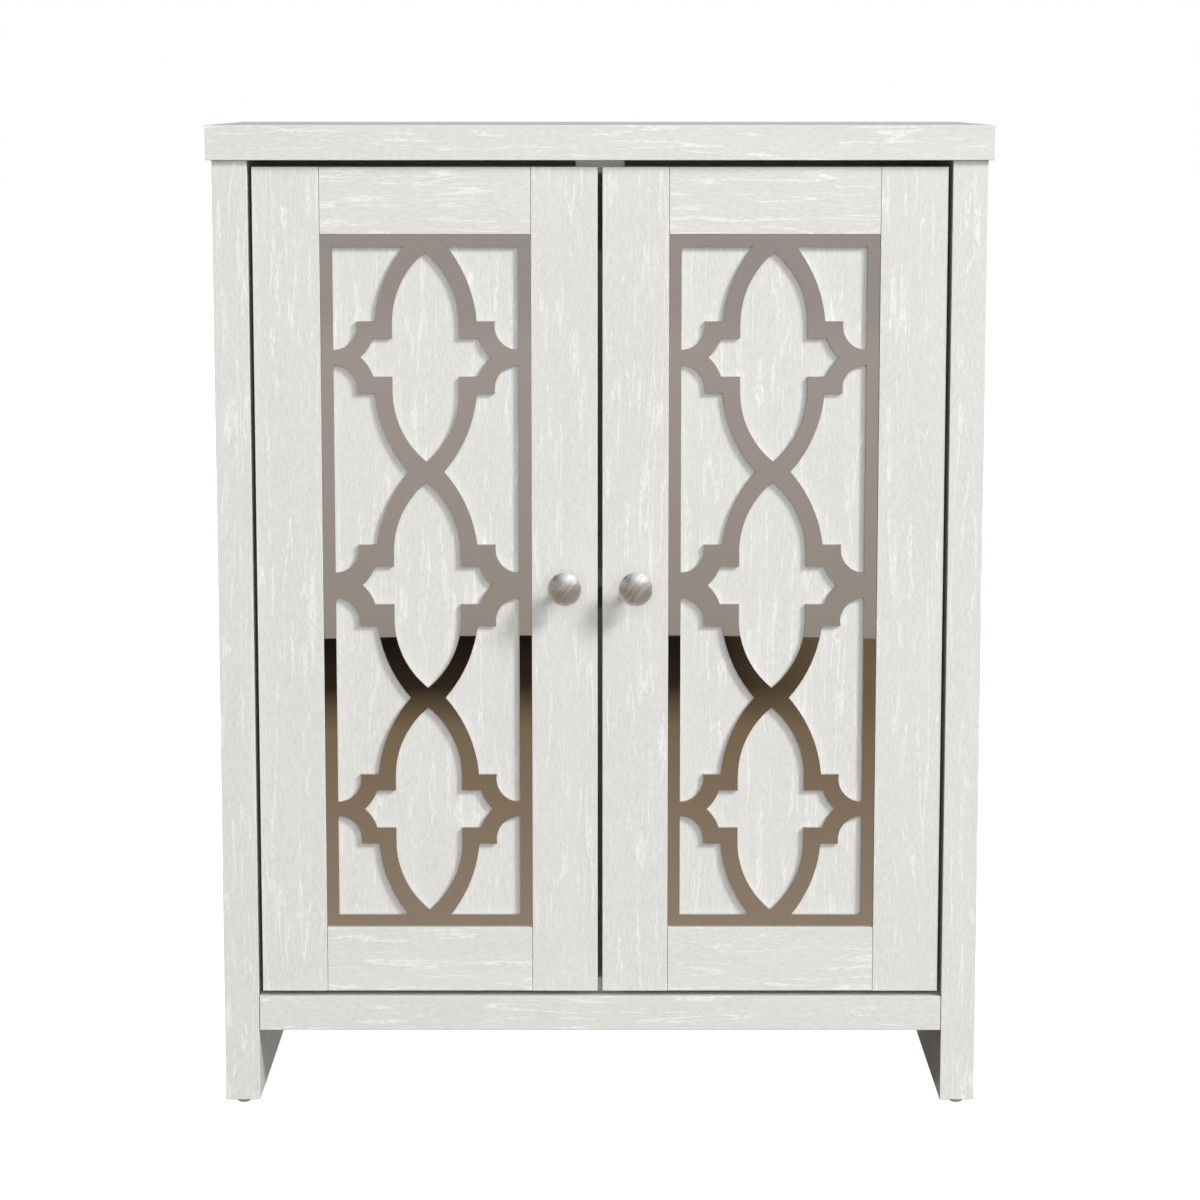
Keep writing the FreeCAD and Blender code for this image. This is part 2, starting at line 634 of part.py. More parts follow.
def make_dowels():
    """Wooden dowels that locate the top on the sides and the bottom between them."""
    top = new_body("top_dowels", x=f"-{SIDE_MIDDLE}", y=DOWEL_ROWS[0], z=TOP_UNDER)
    top_end = sketch(top, "end", "XY_Plane")
    circle(top_end, "0", "0", "dowel_diameter")
    pad(top, top_end, "dowel_length", midplane=True)
    repeat_along(top, "X_Axis", f"2 * {SIDE_MIDDLE}")
    repeat_along(top, "Y_Axis", f"{DOWEL_ROWS[1]} - ({DOWEL_ROWS[0]})")
    low = new_body("bottom_dowels", x=f"-{INNER_HALF}", y=DOWEL_ROWS[0],
                   z=f"{BOTTOM_UNDER} + bottom_thickness / 2")
    low_end = sketch(low, "end", "YZ_Plane")
    circle(low_end, "0", "0", "dowel_diameter")
    pad(low, low_end, "dowel_length", midplane=True)
    repeat_along(low, "X_Axis", f"2 * {INNER_HALF}")
    repeat_along(low, "Y_Axis", f"{DOWEL_ROWS[1]} - ({DOWEL_ROWS[0]})")


def turn_screw(body, length, cap=None):
    """Wood screw about the body's Z axis, its head's face at 0: a flat cap, or else a countersunk head."""
    profile = sketch(body, "profile", "XZ_Plane")
    shank = "(wood_screw_diameter / 2)"
    head = "(wood_screw_head_diameter / 2)"
    rim, neck = (cap, cap) if cap else ("wood_screw_head_length / 2", "wood_screw_head_length")
    outline(profile,
            ("0", "0"), (head, "0"), (head, rim), (shank, neck),
            (shank, f"{length} - wood_screw_diameter"), ("0", length))
    turn(body, profile)


def lower_twin(source, label):
    """The lower catch is the upper one turned over between the top and bottom boards."""
    mirrored(source, label, Vector(0, 0, 1), CATCH_MIDDLE)


def make_catches():
    """Double magnetic catches under the top and on the bottom, each with two magnets and two screws.
    The magnets drop into pockets on the side that lies against the board, behind the case's front."""
    case = new_body("upper_catch", y=CATCH_FACE, z=f"{TOP_UNDER} - catch_height")
    plan = sketch(case, "plan", "XY_Plane")
    rectangle(plan, "-catch_width / 2", "0", "catch_width / 2", "catch_depth")
    block = pad(case, plan, "catch_height")
    ease(case, block, "catch_ease", lambda edge: edge.BoundBox.ZLength > 1)
    pockets = sketch(case, "magnet_pockets", "XY_Plane", "catch_height")
    holes = sketch(case, "screw_holes", "XY_Plane")
    for sign in BOTH_SIDES:
        rectangle(pockets, f"{sign}magnet_offset - magnet_width / 2 - hole_fit", "magnet_cover",
                  f"{sign}magnet_offset + magnet_width / 2 + hole_fit",
                  "magnet_cover + magnet_depth + 2 * hole_fit")
        circle(holes, f"{sign}magnet_offset", "catch_screw_setback", "wood_screw_diameter + hole_fit")
    pocket(case, pockets, "magnet_height")
    pocket(case, holes, "catch_height", reverse=True)
    sinks = sketch(case, "screw_sinks", "XY_Plane")
    for sign in BOTH_SIDES:
        circle(sinks, f"{sign}magnet_offset", "catch_screw_setback",
               "wood_screw_head_diameter + 2 * hole_fit")
    pocket(case, sinks, "wood_screw_head_length", reverse=True)
    lower_twin(case, "lower_catch")

    magnets = new_body("upper_catch_magnets", y=f"{CATCH_FACE} + magnet_cover + hole_fit",
                       z=f"{TOP_UNDER} - magnet_height")
    bars = sketch(magnets, "bars", "XY_Plane")
    for sign in BOTH_SIDES:
        rectangle(bars, f"{sign}magnet_offset - magnet_width / 2", "0",
                  f"{sign}magnet_offset + magnet_width / 2", "magnet_depth")
    pad(magnets, bars, "magnet_height")
    lower_twin(magnets, "lower_catch_magnets")

    screws = new_body("upper_catch_screws", x="-magnet_offset", y=f"{CATCH_FACE} + catch_screw_setback",
                      z=f"{TOP_UNDER} - catch_height")
    turn_screw(screws, "wood_screw_length + catch_height / 2")
    repeat_along(screws, "X_Axis", "2 * magnet_offset")
    lower_twin(screws, "lower_catch_screws")


# Door frames and panels, drawn from the door's outer edge, front face and lower end

def door_body(label, x="0", y="0", z="0", lying=UPRIGHT):
    return new_body(label, f"-{DOOR_EDGE} + {x}", f"{DOOR_FRONT} + {y}", f"{DOOR_BOTTOM} + {z}", lying)


def make_stile(label, x, groove_at_right):
    """Upright of the door frame, grooved full length on the edge that takes the rails and panel."""
    body = door_body(label, x)
    plan = sketch(body, "plan", "XY_Plane")
    groove_front = f"{PANEL_FACE} - groove_fit / 2"
    groove_rear = f"{PANEL_FACE} + panel_thickness + groove_fit / 2"
    near, far, floor = "0", "stile_width", "stile_width - panel_groove_depth"
    if not groove_at_right:
        near, far, floor = "stile_width", "0", "panel_groove_depth"
    steps = [(near, "0"), (far, "0"), (far, groove_front), (floor, groove_front),
             (floor, groove_rear), (far, groove_rear), (far, "door_thickness"), (near, "door_thickness")]
    outline(plan, *steps)
    board = pad(body, plan, DOOR_HEIGHT)
    lip = number("door_thickness")
    ease(body, board, "door_ease",
         lambda edge: edge.BoundBox.ZLength > lip and min(edge.BoundBox.YMin, lip - edge.BoundBox.YMin) < 1)
    return body


def make_outer_stile():
    body = make_stile("left_outer_stile", "0", True)
    cups = sketch(body, "cup_bores", "XZ_Plane", "-door_thickness")
    screws = sketch(body, "cup_screw_holes", "XZ_Plane", "-door_thickness")
    for hinge in ("hinge_end_distance", f"hinge_end_distance + {HINGE_SPACING}"):
        circle(cups, "cup_setback", hinge, "cup_diameter + 2 * hole_fit")
        for sign in BOTH_SIDES:
            circle(screws, "cup_setback + cup_screw_offset", f"{hinge} + {sign}cup_screw_spacing / 2",
                   "wood_screw_diameter + hole_fit")
    pocket(body, cups, "cup_depth + hole_fit", reverse=True)
    pocket(body, screws, "wood_screw_length - 2 * cup_flange_thickness", reverse=True)
    mirrored(body, "right_outer_stile")


def make_inner_stile():
    """The meeting stile, bored for the knob's screw and for the screws of the two strikes."""
    body = make_stile("left_inner_stile", f"{DOOR_WIDTH} - stile_width", False)
    knob_hole = sketch(body, "knob_hole", "XZ_Plane", "-door_thickness")
    circle(knob_hole, "stile_width / 2", f"{DOOR_HEIGHT} / 2", "knob_screw_diameter + 2 * hole_fit")
    pocket(body, knob_hole, "door_thickness", reverse=True)
    screws = sketch(body, "strike_screw_holes", "XZ_Plane", "-door_thickness")
    for level in (STRIKE_LOW, f"{DOOR_HEIGHT} - {STRIKE_LOW}"):
        circle(screws, f"stile_width - {STRIKE_FROM_EDGE}", level, "wood_screw_diameter + hole_fit")
    pocket(body, screws, "wood_screw_length - 2 * strike_thickness", reverse=True)
    mirrored(body, "right_inner_stile")


def make_rail(label, z, groove_up):
    """Cross piece of the door frame with tongues that fill the stiles' grooves. Its shoulders stop just
    short of the stiles, which leaves the fine open seams that show at the frame's corners."""
    body = door_body(label, "stile_width + rail_end_gap", "0", z)
    section = sketch(body, "section", "YZ_Plane")
    groove_front = f"{PANEL_FACE} - groove_fit / 2"
    groove_rear = f"{PANEL_FACE} + panel_thickness + groove_fit / 2"
    outer, inner, floor = "0", "rail_width", "rail_width - panel_groove_depth"
    if not groove_up:
        outer, inner, floor = "rail_width", "0", "panel_groove_depth"
    outline(section,
            ("0", outer), ("door_thickness", outer), ("door_thickness", inner), (groove_rear, inner),
            (groove_rear, floor), (groove_front, floor), (groove_front, inner), ("0", inner))
    length = f"({OPENING_WIDTH} - 2 * rail_end_gap)"
    board = pad(body, section, length)
    ease(body, board, "door_ease",
         lambda edge: edge.BoundBox.YMax < 0.001 and edge.BoundBox.YMin > -0.001)
    tongues = sketch(body, "tongues", "XZ_Plane", f"-{PANEL_FACE}")
    tongue = "(panel_groove_depth - panel_end_gap + rail_end_gap)"
    low, high = ("0", floor) if groove_up else (floor, "rail_width")
    rectangle(tongues, f"-{tongue}", low, f"{length} + {tongue}", high)
    pad(body, tongues, "panel_thickness", reverse=True)
    return body


def make_rails():
    bottom = make_rail("left_bottom_rail", "0", True)
    mirrored(bottom, "right_bottom_rail")
    top = make_rail("left_top_rail", f"{DOOR_HEIGHT} - rail_width", False)
    mirrored(top, "right_top_rail")


def make_door_panel():
    """Flat panel that floats in the grooves of the frame."""
    body = door_body("left_door_panel", "stile_width", PANEL_FACE, "rail_width")
    face = sketch(body, "face", "XZ_Plane")
    reach = "(panel_groove_depth - panel_end_gap)"
    rectangle(face, f"-{reach}", f"-{reach}", f"{OPENING_WIDTH} + {reach}", f"{OPENING_HEIGHT} + {reach}")
    pad(body, face, "panel_thickness", reverse=True)
    mirrored(body, "right_door_panel")


# Mirror fret: a border with a chain of three ogee cells, each an almond with stepped shoulders at its
# waist. Across and up are measured from the middle cell's middle. The corner arcs are centred on the
# border's inner edge, and necks tie the cells' waists to the border, the middle cell's the widest.

FIELD_HALF = f"({OPENING_WIDTH} / 2 - fret_border)"
CELL_HALF = f"(({OPENING_HEIGHT} / 2 - fret_border + fret_end_overlap) / 3)"
CORNER_RISE = "(neck_width / 2 + corner_radius)"
OUTER_SHOULDER = f"({CORNER_RISE} + corner_lip)"
MIDDLE_SHOULDER = "(middle_neck_width / 2 + corner_radius + corner_lip)"
LEDGE_END = f"({FIELD_HALF} - sqrt(corner_radius ^ 2 - corner_lip ^ 2))"
RIBBON_HALF = f"({LEDGE_END} - ribbon_width)"
ALMOND_HALF = f"({RIBBON_HALF} - ribbon_width)"
ALMOND_TIP = f"({CELL_HALF} - crossing_tip)"
SIDE_TIP = f"({FIELD_HALF} - sqrt(tip_radius ^ 2 - {CORNER_RISE} ^ 2))"
STEP_END = f"({FIELD_HALF} - sqrt(tip_radius ^ 2 - ({CORNER_RISE} - inner_shoulder) ^ 2))"
INNER_ARC = f"((({ALMOND_TIP} - inner_arc_start) ^ 2 + {ALMOND_HALF} ^ 2) / (2 * {ALMOND_HALF}))"
OUTER_RUN = f"({RIBBON_HALF} - crossing_notch)"
OUTER_ARC = f"((({CELL_HALF} - outer_arc_start) ^ 2 + {OUTER_RUN} ^ 2) / (2 * {OUTER_RUN}))"


def ribbon_edge(up):
    """Distance of the ribbon's outer edge from the cell's upright axis, at a height above its middle."""
    return f"({RIBBON_HALF} - {OUTER_ARC} + sqrt({OUTER_ARC} ^ 2 - ({up} - outer_arc_start) ^ 2))"


def draw_almond(drawing, middle):
    """The opening inside one cell: two long arcs to each point, stepped shoulders, arcs to the side tips."""
    def at(up):
        return f"{middle} + {up}"
    half, step, tip = ALMOND_HALF, STEP_END, SIDE_TIP
    outline(drawing,
            ("0", at(f"-{ALMOND_TIP}"), INNER_ARC, 1), (half, at("-inner_arc_start")),
            (half, at("-inner_shoulder")), (step, at("-inner_shoulder"), "tip_radius", -1),
            (tip, at("0"), "tip_radius", -1), (step, at("inner_shoulder")),
            (half, at("inner_shoulder")), (half, at("inner_arc_start"), INNER_ARC, 1),
            ("0", at(ALMOND_TIP), INNER_ARC, 1), (f"-{half}", at("inner_arc_start")),
            (f"-{half}", at("inner_shoulder")), (f"-{step}", at("inner_shoulder"), "tip_radius", -1),
            (f"-{tip}", at("0"), "tip_radius", -1), (f"-{step}", at("-inner_shoulder")),
            (f"-{half}", at("-inner_shoulder")), (f"-{half}", at("-inner_arc_start"), INNER_ARC, 1))


def draw_side_opening(drawing, sign, way):
    """The opening between the middle cell, an end cell and the border, pointed where the cells cross."""
    bend = (-1 if sign else 1) * (-1 if way else 1)
    end_shoulder = f"2 * {CELL_HALF} - {OUTER_SHOULDER}"
    outline(drawing,
            (f"{sign}crossing_notch", f"{way}{CELL_HALF}", OUTER_ARC, -bend),
            (f"{sign}{ribbon_edge(MIDDLE_SHOULDER)}", f"{way}{MIDDLE_SHOULDER}"),
            (f"{sign}{LEDGE_END}", f"{way}{MIDDLE_SHOULDER}", "corner_radius", bend),
            (f"{sign}{FIELD_HALF}", f"{way}middle_neck_width / 2"),
            (f"{sign}{FIELD_HALF}", f"{way}(2 * {CELL_HALF} - neck_width / 2)", "corner_radius", bend),
            (f"{sign}{LEDGE_END}", f"{way}({end_shoulder})"),
            (f"{sign}{ribbon_edge(OUTER_SHOULDER)}", f"{way}({end_shoulder})", OUTER_ARC, -bend))


def draw_end_opening(drawing, sign, way):
    """The opening in a corner of the border, beyond the waist of an end cell."""
    bend = (-1 if sign else 1) * (-1 if way else 1)
    end = f"({CELL_HALF} - fret_end_overlap)"

    def beyond(up):
        return f"{way}(2 * {CELL_HALF} + {up})"
    outline(drawing,
            (f"{sign}{FIELD_HALF}", beyond("neck_width / 2")), (f"{sign}{FIELD_HALF}", beyond(end)),
            (f"{sign}{ribbon_edge(end)}", beyond(end), OUTER_ARC, -bend),
            (f"{sign}{ribbon_edge(OUTER_SHOULDER)}", beyond(OUTER_SHOULDER)),
            (f"{sign}{LEDGE_END}", beyond(OUTER_SHOULDER), "corner_radius", bend))


def make_mirror_fret():
    """Mirror-faced fret, glued to the front of the door panel inside the frame."""
    body = door_body("left_mirror_fret", f"{DOOR_WIDTH} / 2", "fret_recess", f"{DOOR_HEIGHT} / 2")
    sheet_edge = sketch(body, "edge", "XZ_Plane")
    half_width = f"({OPENING_WIDTH} / 2 - fret_edge_gap)"
    half_height = f"({OPENING_HEIGHT} / 2 - fret_edge_gap)"
    rectangle(sheet_edge, f"-{half_width}", f"-{half_height}", half_width, half_height)
    pad(body, sheet_edge, "fret_thickness", reverse=True)
    almond = sketch(body, "almond", "XZ_Plane")
    draw_almond(almond, f"(-2 * {CELL_HALF})")
    repeat_along(body, "Z_Axis", f"2 * {CELL_HALF}", pocket(body, almond, "fret_thickness"), "3")
    openings = sketch(body, "openings", "XZ_Plane")
    for sign in BOTH_SIDES:
        for way in BOTH_SIDES:
            draw_side_opening(openings, sign, way)
            draw_end_opening(openings, sign, way)
    pocket(body, openings, "fret_thickness")
    mirrored(body, "right_mirror_fret")


# Door fittings

def make_knob():
    """Turned knob: a small foot, a slim coved neck and a domed head, with a blind bore for the screw."""
    knob_x = f"{DOOR_WIDTH} - stile_width / 2"
    body = door_body("left_knob", knob_x, "0", f"{DOOR_HEIGHT} / 2")
    profile = sketch(body, "profile", "XY_Plane")
    foot = "(knob_base_diameter / 2)"
    head = "(knob_diameter / 2)"
    bore = "(knob_screw_diameter / 2 + hole_fit / 2)"
    rim_front = "(knob_length - knob_dome_height)"
    rim_back = f"({rim_front} - knob_rim_length)"
    dome = f"(({head} ^ 2 + knob_dome_height ^ 2) / (2 * knob_dome_height))"
    chord_squared = f"(({head} - {foot}) ^ 2 + ({rim_back} - knob_base_length) ^ 2)"
    cove = f"(({chord_squared} / 4 + knob_cove_depth ^ 2) / (2 * knob_cove_depth))"
    outline(profile,
            (bore, "0"), (foot, "0"), (foot, "-knob_base_length", cove, 1),
            (head, f"-{rim_back}"), (head, f"-{rim_front}", dome, -1),
            ("0", "-knob_length"), ("0", "-knob_screw_grip"), (bore, "-knob_screw_grip"))
    turn(body, profile)
    mirrored(body, "right_knob")

    screw = door_body("left_knob_screw", knob_x, "door_thickness", f"{DOOR_HEIGHT} / 2")
    section = sketch(screw, "section", "XY_Plane")
    shank = "(knob_screw_diameter / 2)"
    cap = "(knob_screw_head_diameter / 2)"
    end = "-(door_thickness + knob_screw_grip - hole_fit)"
    outline(section,
            ("0", end), (shank, end), (shank, "0"), (cap, "0"), (cap, "knob_screw_head_length / 2"),
            ("knob_screw_head_diameter / 3", "knob_screw_head_length"), ("0", "knob_screw_head_length"))
    turn(screw, section)
    slot = sketch(screw, "slot", "XZ_Plane", "-knob_screw_head_length")
    rectangle(slot, "-knob_screw_head_diameter / 2", "-knob_screw_head_length / 5",
              "knob_screw_head_diameter / 2", "knob_screw_head_length / 5")
    pocket(screw, slot, "knob_screw_head_length / 2", reverse=True)
    mirrored(screw, "right_knob_screw")


def make_hinge_cups():
    """Cups pressed into the outer stile, with a rim, two screw wings and holes for the pivot pin."""
    body = door_body("left_hinge_cups", "cup_setback", "door_thickness", "hinge_end_distance")
    wings = sketch(body, "wings", "XZ_Plane")
    rectangle(wings, "cup_screw_offset - cup_wing_width * 0.7", "-cup_wing_length / 2",
              "cup_screw_offset + cup_wing_width * 0.3", "cup_wing_length / 2")
    pad(body, wings, "cup_flange_thickness", reverse=True)
    profile = sketch(body, "profile", "XY_Plane")
    rim = "(cup_diameter / 2 + cup_rim_width)"
    outline(profile,
            ("0", "-cup_depth"), ("cup_diameter / 2 - cup_wall", "-cup_depth", "cup_wall", 1),
            ("cup_diameter / 2", "cup_wall - cup_depth"), ("cup_diameter / 2", "0"), (rim, "0"),
            (rim, "cup_flange_thickness"), ("0", "cup_flange_thickness"))
    turn(body, profile)
    hollow = sketch(body, "hollow", "XZ_Plane", "-cup_flange_thickness")
    circle(hollow, "0", "0", "cup_diameter - 2 * cup_wall")
    pocket(body, hollow, "cup_depth - cup_wall + cup_flange_thickness", reverse=True)
    pin_hole = sketch(body, "pin_hole", "XY_Plane")
    circle(pin_hole, "hinge_pin_setback - cup_setback", "hinge_pin_depth - door_thickness",
           "hinge_pin_diameter + hole_fit / 2")
    pocket(body, pin_hole, "cup_diameter", midplane=True)
    holes = sketch(body, "screw_holes", "XZ_Plane")
    for sign in BOTH_SIDES:
        circle(holes, "cup_screw_offset", f"{sign}cup_screw_spacing / 2",
               "wood_screw_head_diameter + hole_fit")
    pocket(body, holes, "cup_flange_thickness")
    repeat_along(body, "Z_Axis", HINGE_SPACING)
    mirrored(body, "right_hinge_cups")


def make_hinge_pins():
    """Pivot pins across the cups; the arms' knuckles turn on them."""
    body = new_body("left_hinge_pins", HINGE_PIN_X, HINGE_PIN_Y, HINGE_LOW)
    end = sketch(body, "end", "XY_Plane")
    circle(end, "0", "0", "hinge_pin_diameter")
    far_edge = "(cup_setback - hinge_pin_setback + hinge_pin_diameter / 2)"
    pad(body, end, f"2 * sqrt((cup_diameter / 2 - hole_fit) ^ 2 - {far_edge} ^ 2)", midplane=True)
    repeat_along(body, "Z_Axis", HINGE_SPACING)
    mirrored(body, "right_hinge_pins")


def make_hinge_arms():
    """Gooseneck arms: a knuckle on the pin, a run out of the cup, and a tail back along the side board."""
    body = new_body("left_hinge_arms", HINGE_PIN_X, HINGE_PIN_Y, HINGE_LOW)
    strip = sketch(body, "strip", "XY_Plane")
    half = "arm_thickness / 2"
    inner = "arm_bend_radius"
    outer = "(arm_bend_radius + arm_thickness)"
    wall = "(plate_thickness - hinge_pin_setback - door_side_gap)"
    outline(strip,
            ("0", f"-{half}"), (f"arm_reach + {half} - {outer}", f"-{half}", outer, 1),
            (f"arm_reach + {half}", f"{outer} - {half}"),
            (f"arm_reach + {half}", f"arm_back + {half} - {outer}", outer, 1),
            (f"arm_reach + {half} - {outer}", f"arm_back + {half}"),
            (f"{wall} + arm_thickness + {inner}", f"arm_back + {half}", inner, -1),
            (f"{wall} + arm_thickness", f"arm_back + {half} + {inner}"),
            (f"{wall} + arm_thickness", "arm_tail"), (wall, "arm_tail"),
            (wall, f"arm_back - {half} + {outer}", outer, 1),
            (f"{wall} + {outer}", f"arm_back - {half}"),
            (f"arm_reach - {half} - {inner}", f"arm_back - {half}", inner, -1),
            (f"arm_reach - {half}", f"arm_back - {half} - {inner}"),
            (f"arm_reach - {half}", f"{half} + {inner}", inner, -1),
            (f"arm_reach - {half} - {inner}", half), ("0", half))
    pad(body, strip, "arm_height", midplane=True)
    knuckle = sketch(body, "knuckle", "XY_Plane")
    circle(knuckle, "0", "0", "knuckle_diameter")
    pad(body, knuckle, "arm_height", midplane=True)
    bore = sketch(body, "bore", "XY_Plane")
    circle(bore, "0", "0", "hinge_pin_diameter + 2 * running_fit")
    pocket(body, bore, "arm_height", midplane=True)
    screw_hole = sketch(body, "screw_hole", "YZ_Plane", f"{wall} + arm_thickness")
    circle(screw_hole, "arm_screw_setback", "0", "arm_screw_diameter + 2 * hole_fit")
    pocket(body, screw_hole, "arm_thickness")
    repeat_along(body, "Z_Axis", HINGE_SPACING)
    mirrored(body, "right_hinge_arms")


def make_hinge_plates():
    """Cross-shaped mounting plates on the inner faces of the sides, with the arms' and plates' screws."""
    plate = new_body("left_hinge_plates", f"-{INNER_HALF}", HINGE_PIN_Y, HINGE_LOW)
    cross = sketch(plate, "cross", "YZ_Plane")
    bar = "(plate_height / 2)"
    wing = "(plate_wing_height / 2)"
    wing_front = "(plate_screw_setback - plate_wing_width / 2)"
    wing_rear = "(plate_screw_setback + plate_wing_width / 2)"
    outline(cross,
            ("plate_start", f"-{bar}"), (wing_front, f"-{bar}"), (wing_front, f"-{wing}"),
            (wing_rear, f"-{wing}"), (wing_rear, f"-{bar}"), ("plate_end", f"-{bar}"),
            ("plate_end", bar), (wing_rear, bar), (wing_rear, wing), (wing_front, wing),
            (wing_front, bar), ("plate_start", bar))
    pad(plate, cross, "plate_thickness")
    screw_holes = sketch(plate, "screw_holes", "YZ_Plane", "plate_thickness")
    sinks = sketch(plate, "screw_sinks", "YZ_Plane", "plate_thickness")
    for sign in BOTH_SIDES:
        level = f"{sign}plate_screw_spacing / 2"
        circle(screw_holes, "plate_screw_setback", level, "wood_screw_diameter + hole_fit")
        circle(sinks, "plate_screw_setback", level, "wood_screw_head_diameter + 2 * hole_fit")
    circle(screw_holes, "arm_screw_setback", "0", "arm_screw_diameter + 2 * hole_fit")
    pocket(plate, screw_holes, "plate_thickness")
    pocket(plate, sinks, "wood_screw_head_length")
    repeat_along(plate, "Z_Axis", HINGE_SPACING)
    mirrored(plate, "right_hinge_plates")

    arm_screws = new_body("left_arm_screws", f"-{INNER_HALF} + plate_thickness + arm_thickness",
                          f"{HINGE_PIN_Y} + arm_screw_setback", HINGE_LOW)
    head = sketch(arm_screws, "head", "YZ_Plane")
    circle(head, "0", "0", "arm_screw_head_diameter")
    pad(arm_screws, head, "arm_screw_head_length")
    shank = sketch(arm_screws, "shank", "YZ_Plane")
    circle(shank, "0", "0", "arm_screw_diameter")
    pad(arm_screws, shank, "arm_thickness + plate_thickness - hole_fit", reverse=True)
    slot = sketch(arm_screws, "slot", "YZ_Plane", "arm_screw_head_length")
    rectangle(slot, "-arm_screw_head_diameter / 2", "-arm_screw_head_length / 4",
              "arm_screw_head_diameter / 2", "arm_screw_head_length / 4")
    pocket(arm_screws, slot, "arm_screw_head_length / 2")
    repeat_along(arm_screws, "Z_Axis", HINGE_SPACING)
    mirrored(arm_screws, "right_arm_screws")

    plate_screws = new_body("left_plate_screws", f"-{INNER_HALF} + plate_thickness",
                            f"{HINGE_PIN_Y} + plate_screw_setback",
                            f"{HINGE_LOW} - plate_screw_spacing / 2", TO_LEFT)
    turn_screw(plate_screws, "wood_screw_length + plate_thickness / 2")
    repeat_along(plate_screws, "X_Axis", "plate_screw_spacing")
    repeat_along(plate_screws, "X_Axis", HINGE_SPACING)
    mirrored(plate_screws, "right_plate_screws")


def make_cup_screws():
    """Screws that hold the cups' wings to the outer stile, their heads filling the wings' holes."""
    body = door_body("left_cup_screws", "cup_setback + cup_screw_offset",
                     "door_thickness + cup_flange_thickness",
                     "hinge_end_distance - cup_screw_spacing / 2", TO_FRONT)
    turn_screw(body, "wood_screw_length - cup_flange_thickness", "cup_flange_thickness")
    repeat_along(body, "Y_Axis", "cup_screw_spacing")
    repeat_along(body, "Y_Axis", HINGE_SPACING)
    mirrored(body, "right_cup_screws")


def make_strikes():
    """Steel strikes on the backs of the meeting stiles, held by one screw each, facing the magnets."""
    across = f"{DOOR_WIDTH} - {STRIKE_FROM_EDGE}"
    plate = door_body("left_strike_plates", across, "door_thickness", STRIKE_LOW)
    face = sketch(plate, "face", "XZ_Plane")
    rectangle(face, "-strike_width / 2", "-strike_height / 2", "strike_width / 2", "strike_height / 2")
    block = pad(plate, face, "strike_thickness", reverse=True)
    ease(plate, block, "strike_thickness", lambda edge: edge.BoundBox.YLength > 1)
    hole = sketch(plate, "hole", "XZ_Plane")
    circle(hole, "0", "0", "wood_screw_head_diameter + hole_fit")
    pocket(plate, hole, "strike_thickness")
    spacing = f"{DOOR_HEIGHT} - 2 * {STRIKE_LOW}"
    repeat_along(plate, "Z_Axis", spacing)
    mirrored(plate, "right_strike_plates")

    screws = door_body("left_strike_screws", across, "door_thickness + strike_thickness", STRIKE_LOW,
                       TO_FRONT)
    turn_screw(screws, "wood_screw_length - strike_thickness", "strike_thickness")
    repeat_along(screws, "Y_Axis", spacing)
    mirrored(screws, "right_strike_screws")


make_top_panel()
make_side_panels()
make_bottom_panel()
make_back_panel()
make_shelf()
make_shelf_pins()
make_floor_glides()
make_top_cam_locks()
make_bottom_cam_locks()
make_cam_bolts()
make_dowels()
make_catches()
make_outer_stile()
make_inner_stile()
make_rails()
make_door_panel()
make_mirror_fret()
make_knob()
make_hinge_cups()
make_hinge_pins()
make_hinge_arms()
make_hinge_plates()
make_cup_screws()
make_strikes()
doc.recompute()

for feature in doc.Objects:
    if {"Invalid", "Error"} & set(feature.State):
        raise RuntimeError(f"{feature.Label} failed: {feature.State}")
for sub_part in sub_parts:
    if sub_part.Shape.isNull() or not sub_part.Shape.isValid():
        raise RuntimeError(f"{sub_part.Label} has no valid shape")

os.makedirs("parts", exist_ok=True)
for sub_part in sub_parts:
    sub_part.Shape.exportStep(f"parts/{sub_part.Label}.step")
    solids = sub_part.Shape.Solids
    print(sub_part.Label, len(solids), round(sum(solid.Volume for solid in solids)))
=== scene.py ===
"""Looks of a freestanding bathroom cabinet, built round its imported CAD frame.

The CAD boards, fret, knobs and fittings keep their own meshes and get procedural finishes here.
Two things are made again: the small screws, with the cross recesses and threads that the plain
solids leave out, and the bottom board, with fine open seams at its ends.
All lengths are metres unless a name ends in _mm.
"""
import json
import math

import bmesh
import bpy
import numpy as np
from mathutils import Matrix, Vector


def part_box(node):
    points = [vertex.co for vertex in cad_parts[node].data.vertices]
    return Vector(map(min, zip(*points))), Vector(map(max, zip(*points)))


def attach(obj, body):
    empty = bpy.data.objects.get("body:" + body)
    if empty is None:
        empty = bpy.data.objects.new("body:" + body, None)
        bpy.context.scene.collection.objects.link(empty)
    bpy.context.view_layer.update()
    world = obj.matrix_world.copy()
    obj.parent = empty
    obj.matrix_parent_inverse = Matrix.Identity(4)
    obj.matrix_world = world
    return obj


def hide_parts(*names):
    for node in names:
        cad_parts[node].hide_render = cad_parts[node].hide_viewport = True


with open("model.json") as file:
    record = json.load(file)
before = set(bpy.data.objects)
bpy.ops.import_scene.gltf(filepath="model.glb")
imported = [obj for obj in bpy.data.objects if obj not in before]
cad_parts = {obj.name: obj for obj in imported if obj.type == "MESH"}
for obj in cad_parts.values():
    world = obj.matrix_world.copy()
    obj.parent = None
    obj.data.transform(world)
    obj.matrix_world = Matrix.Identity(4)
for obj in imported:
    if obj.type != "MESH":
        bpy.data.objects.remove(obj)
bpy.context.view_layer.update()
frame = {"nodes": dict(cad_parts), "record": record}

MM = 0.001
ACROSS, UPRIGHT = 0, 2
WHITE = (1.0, 1.0, 1.0, 1.0)
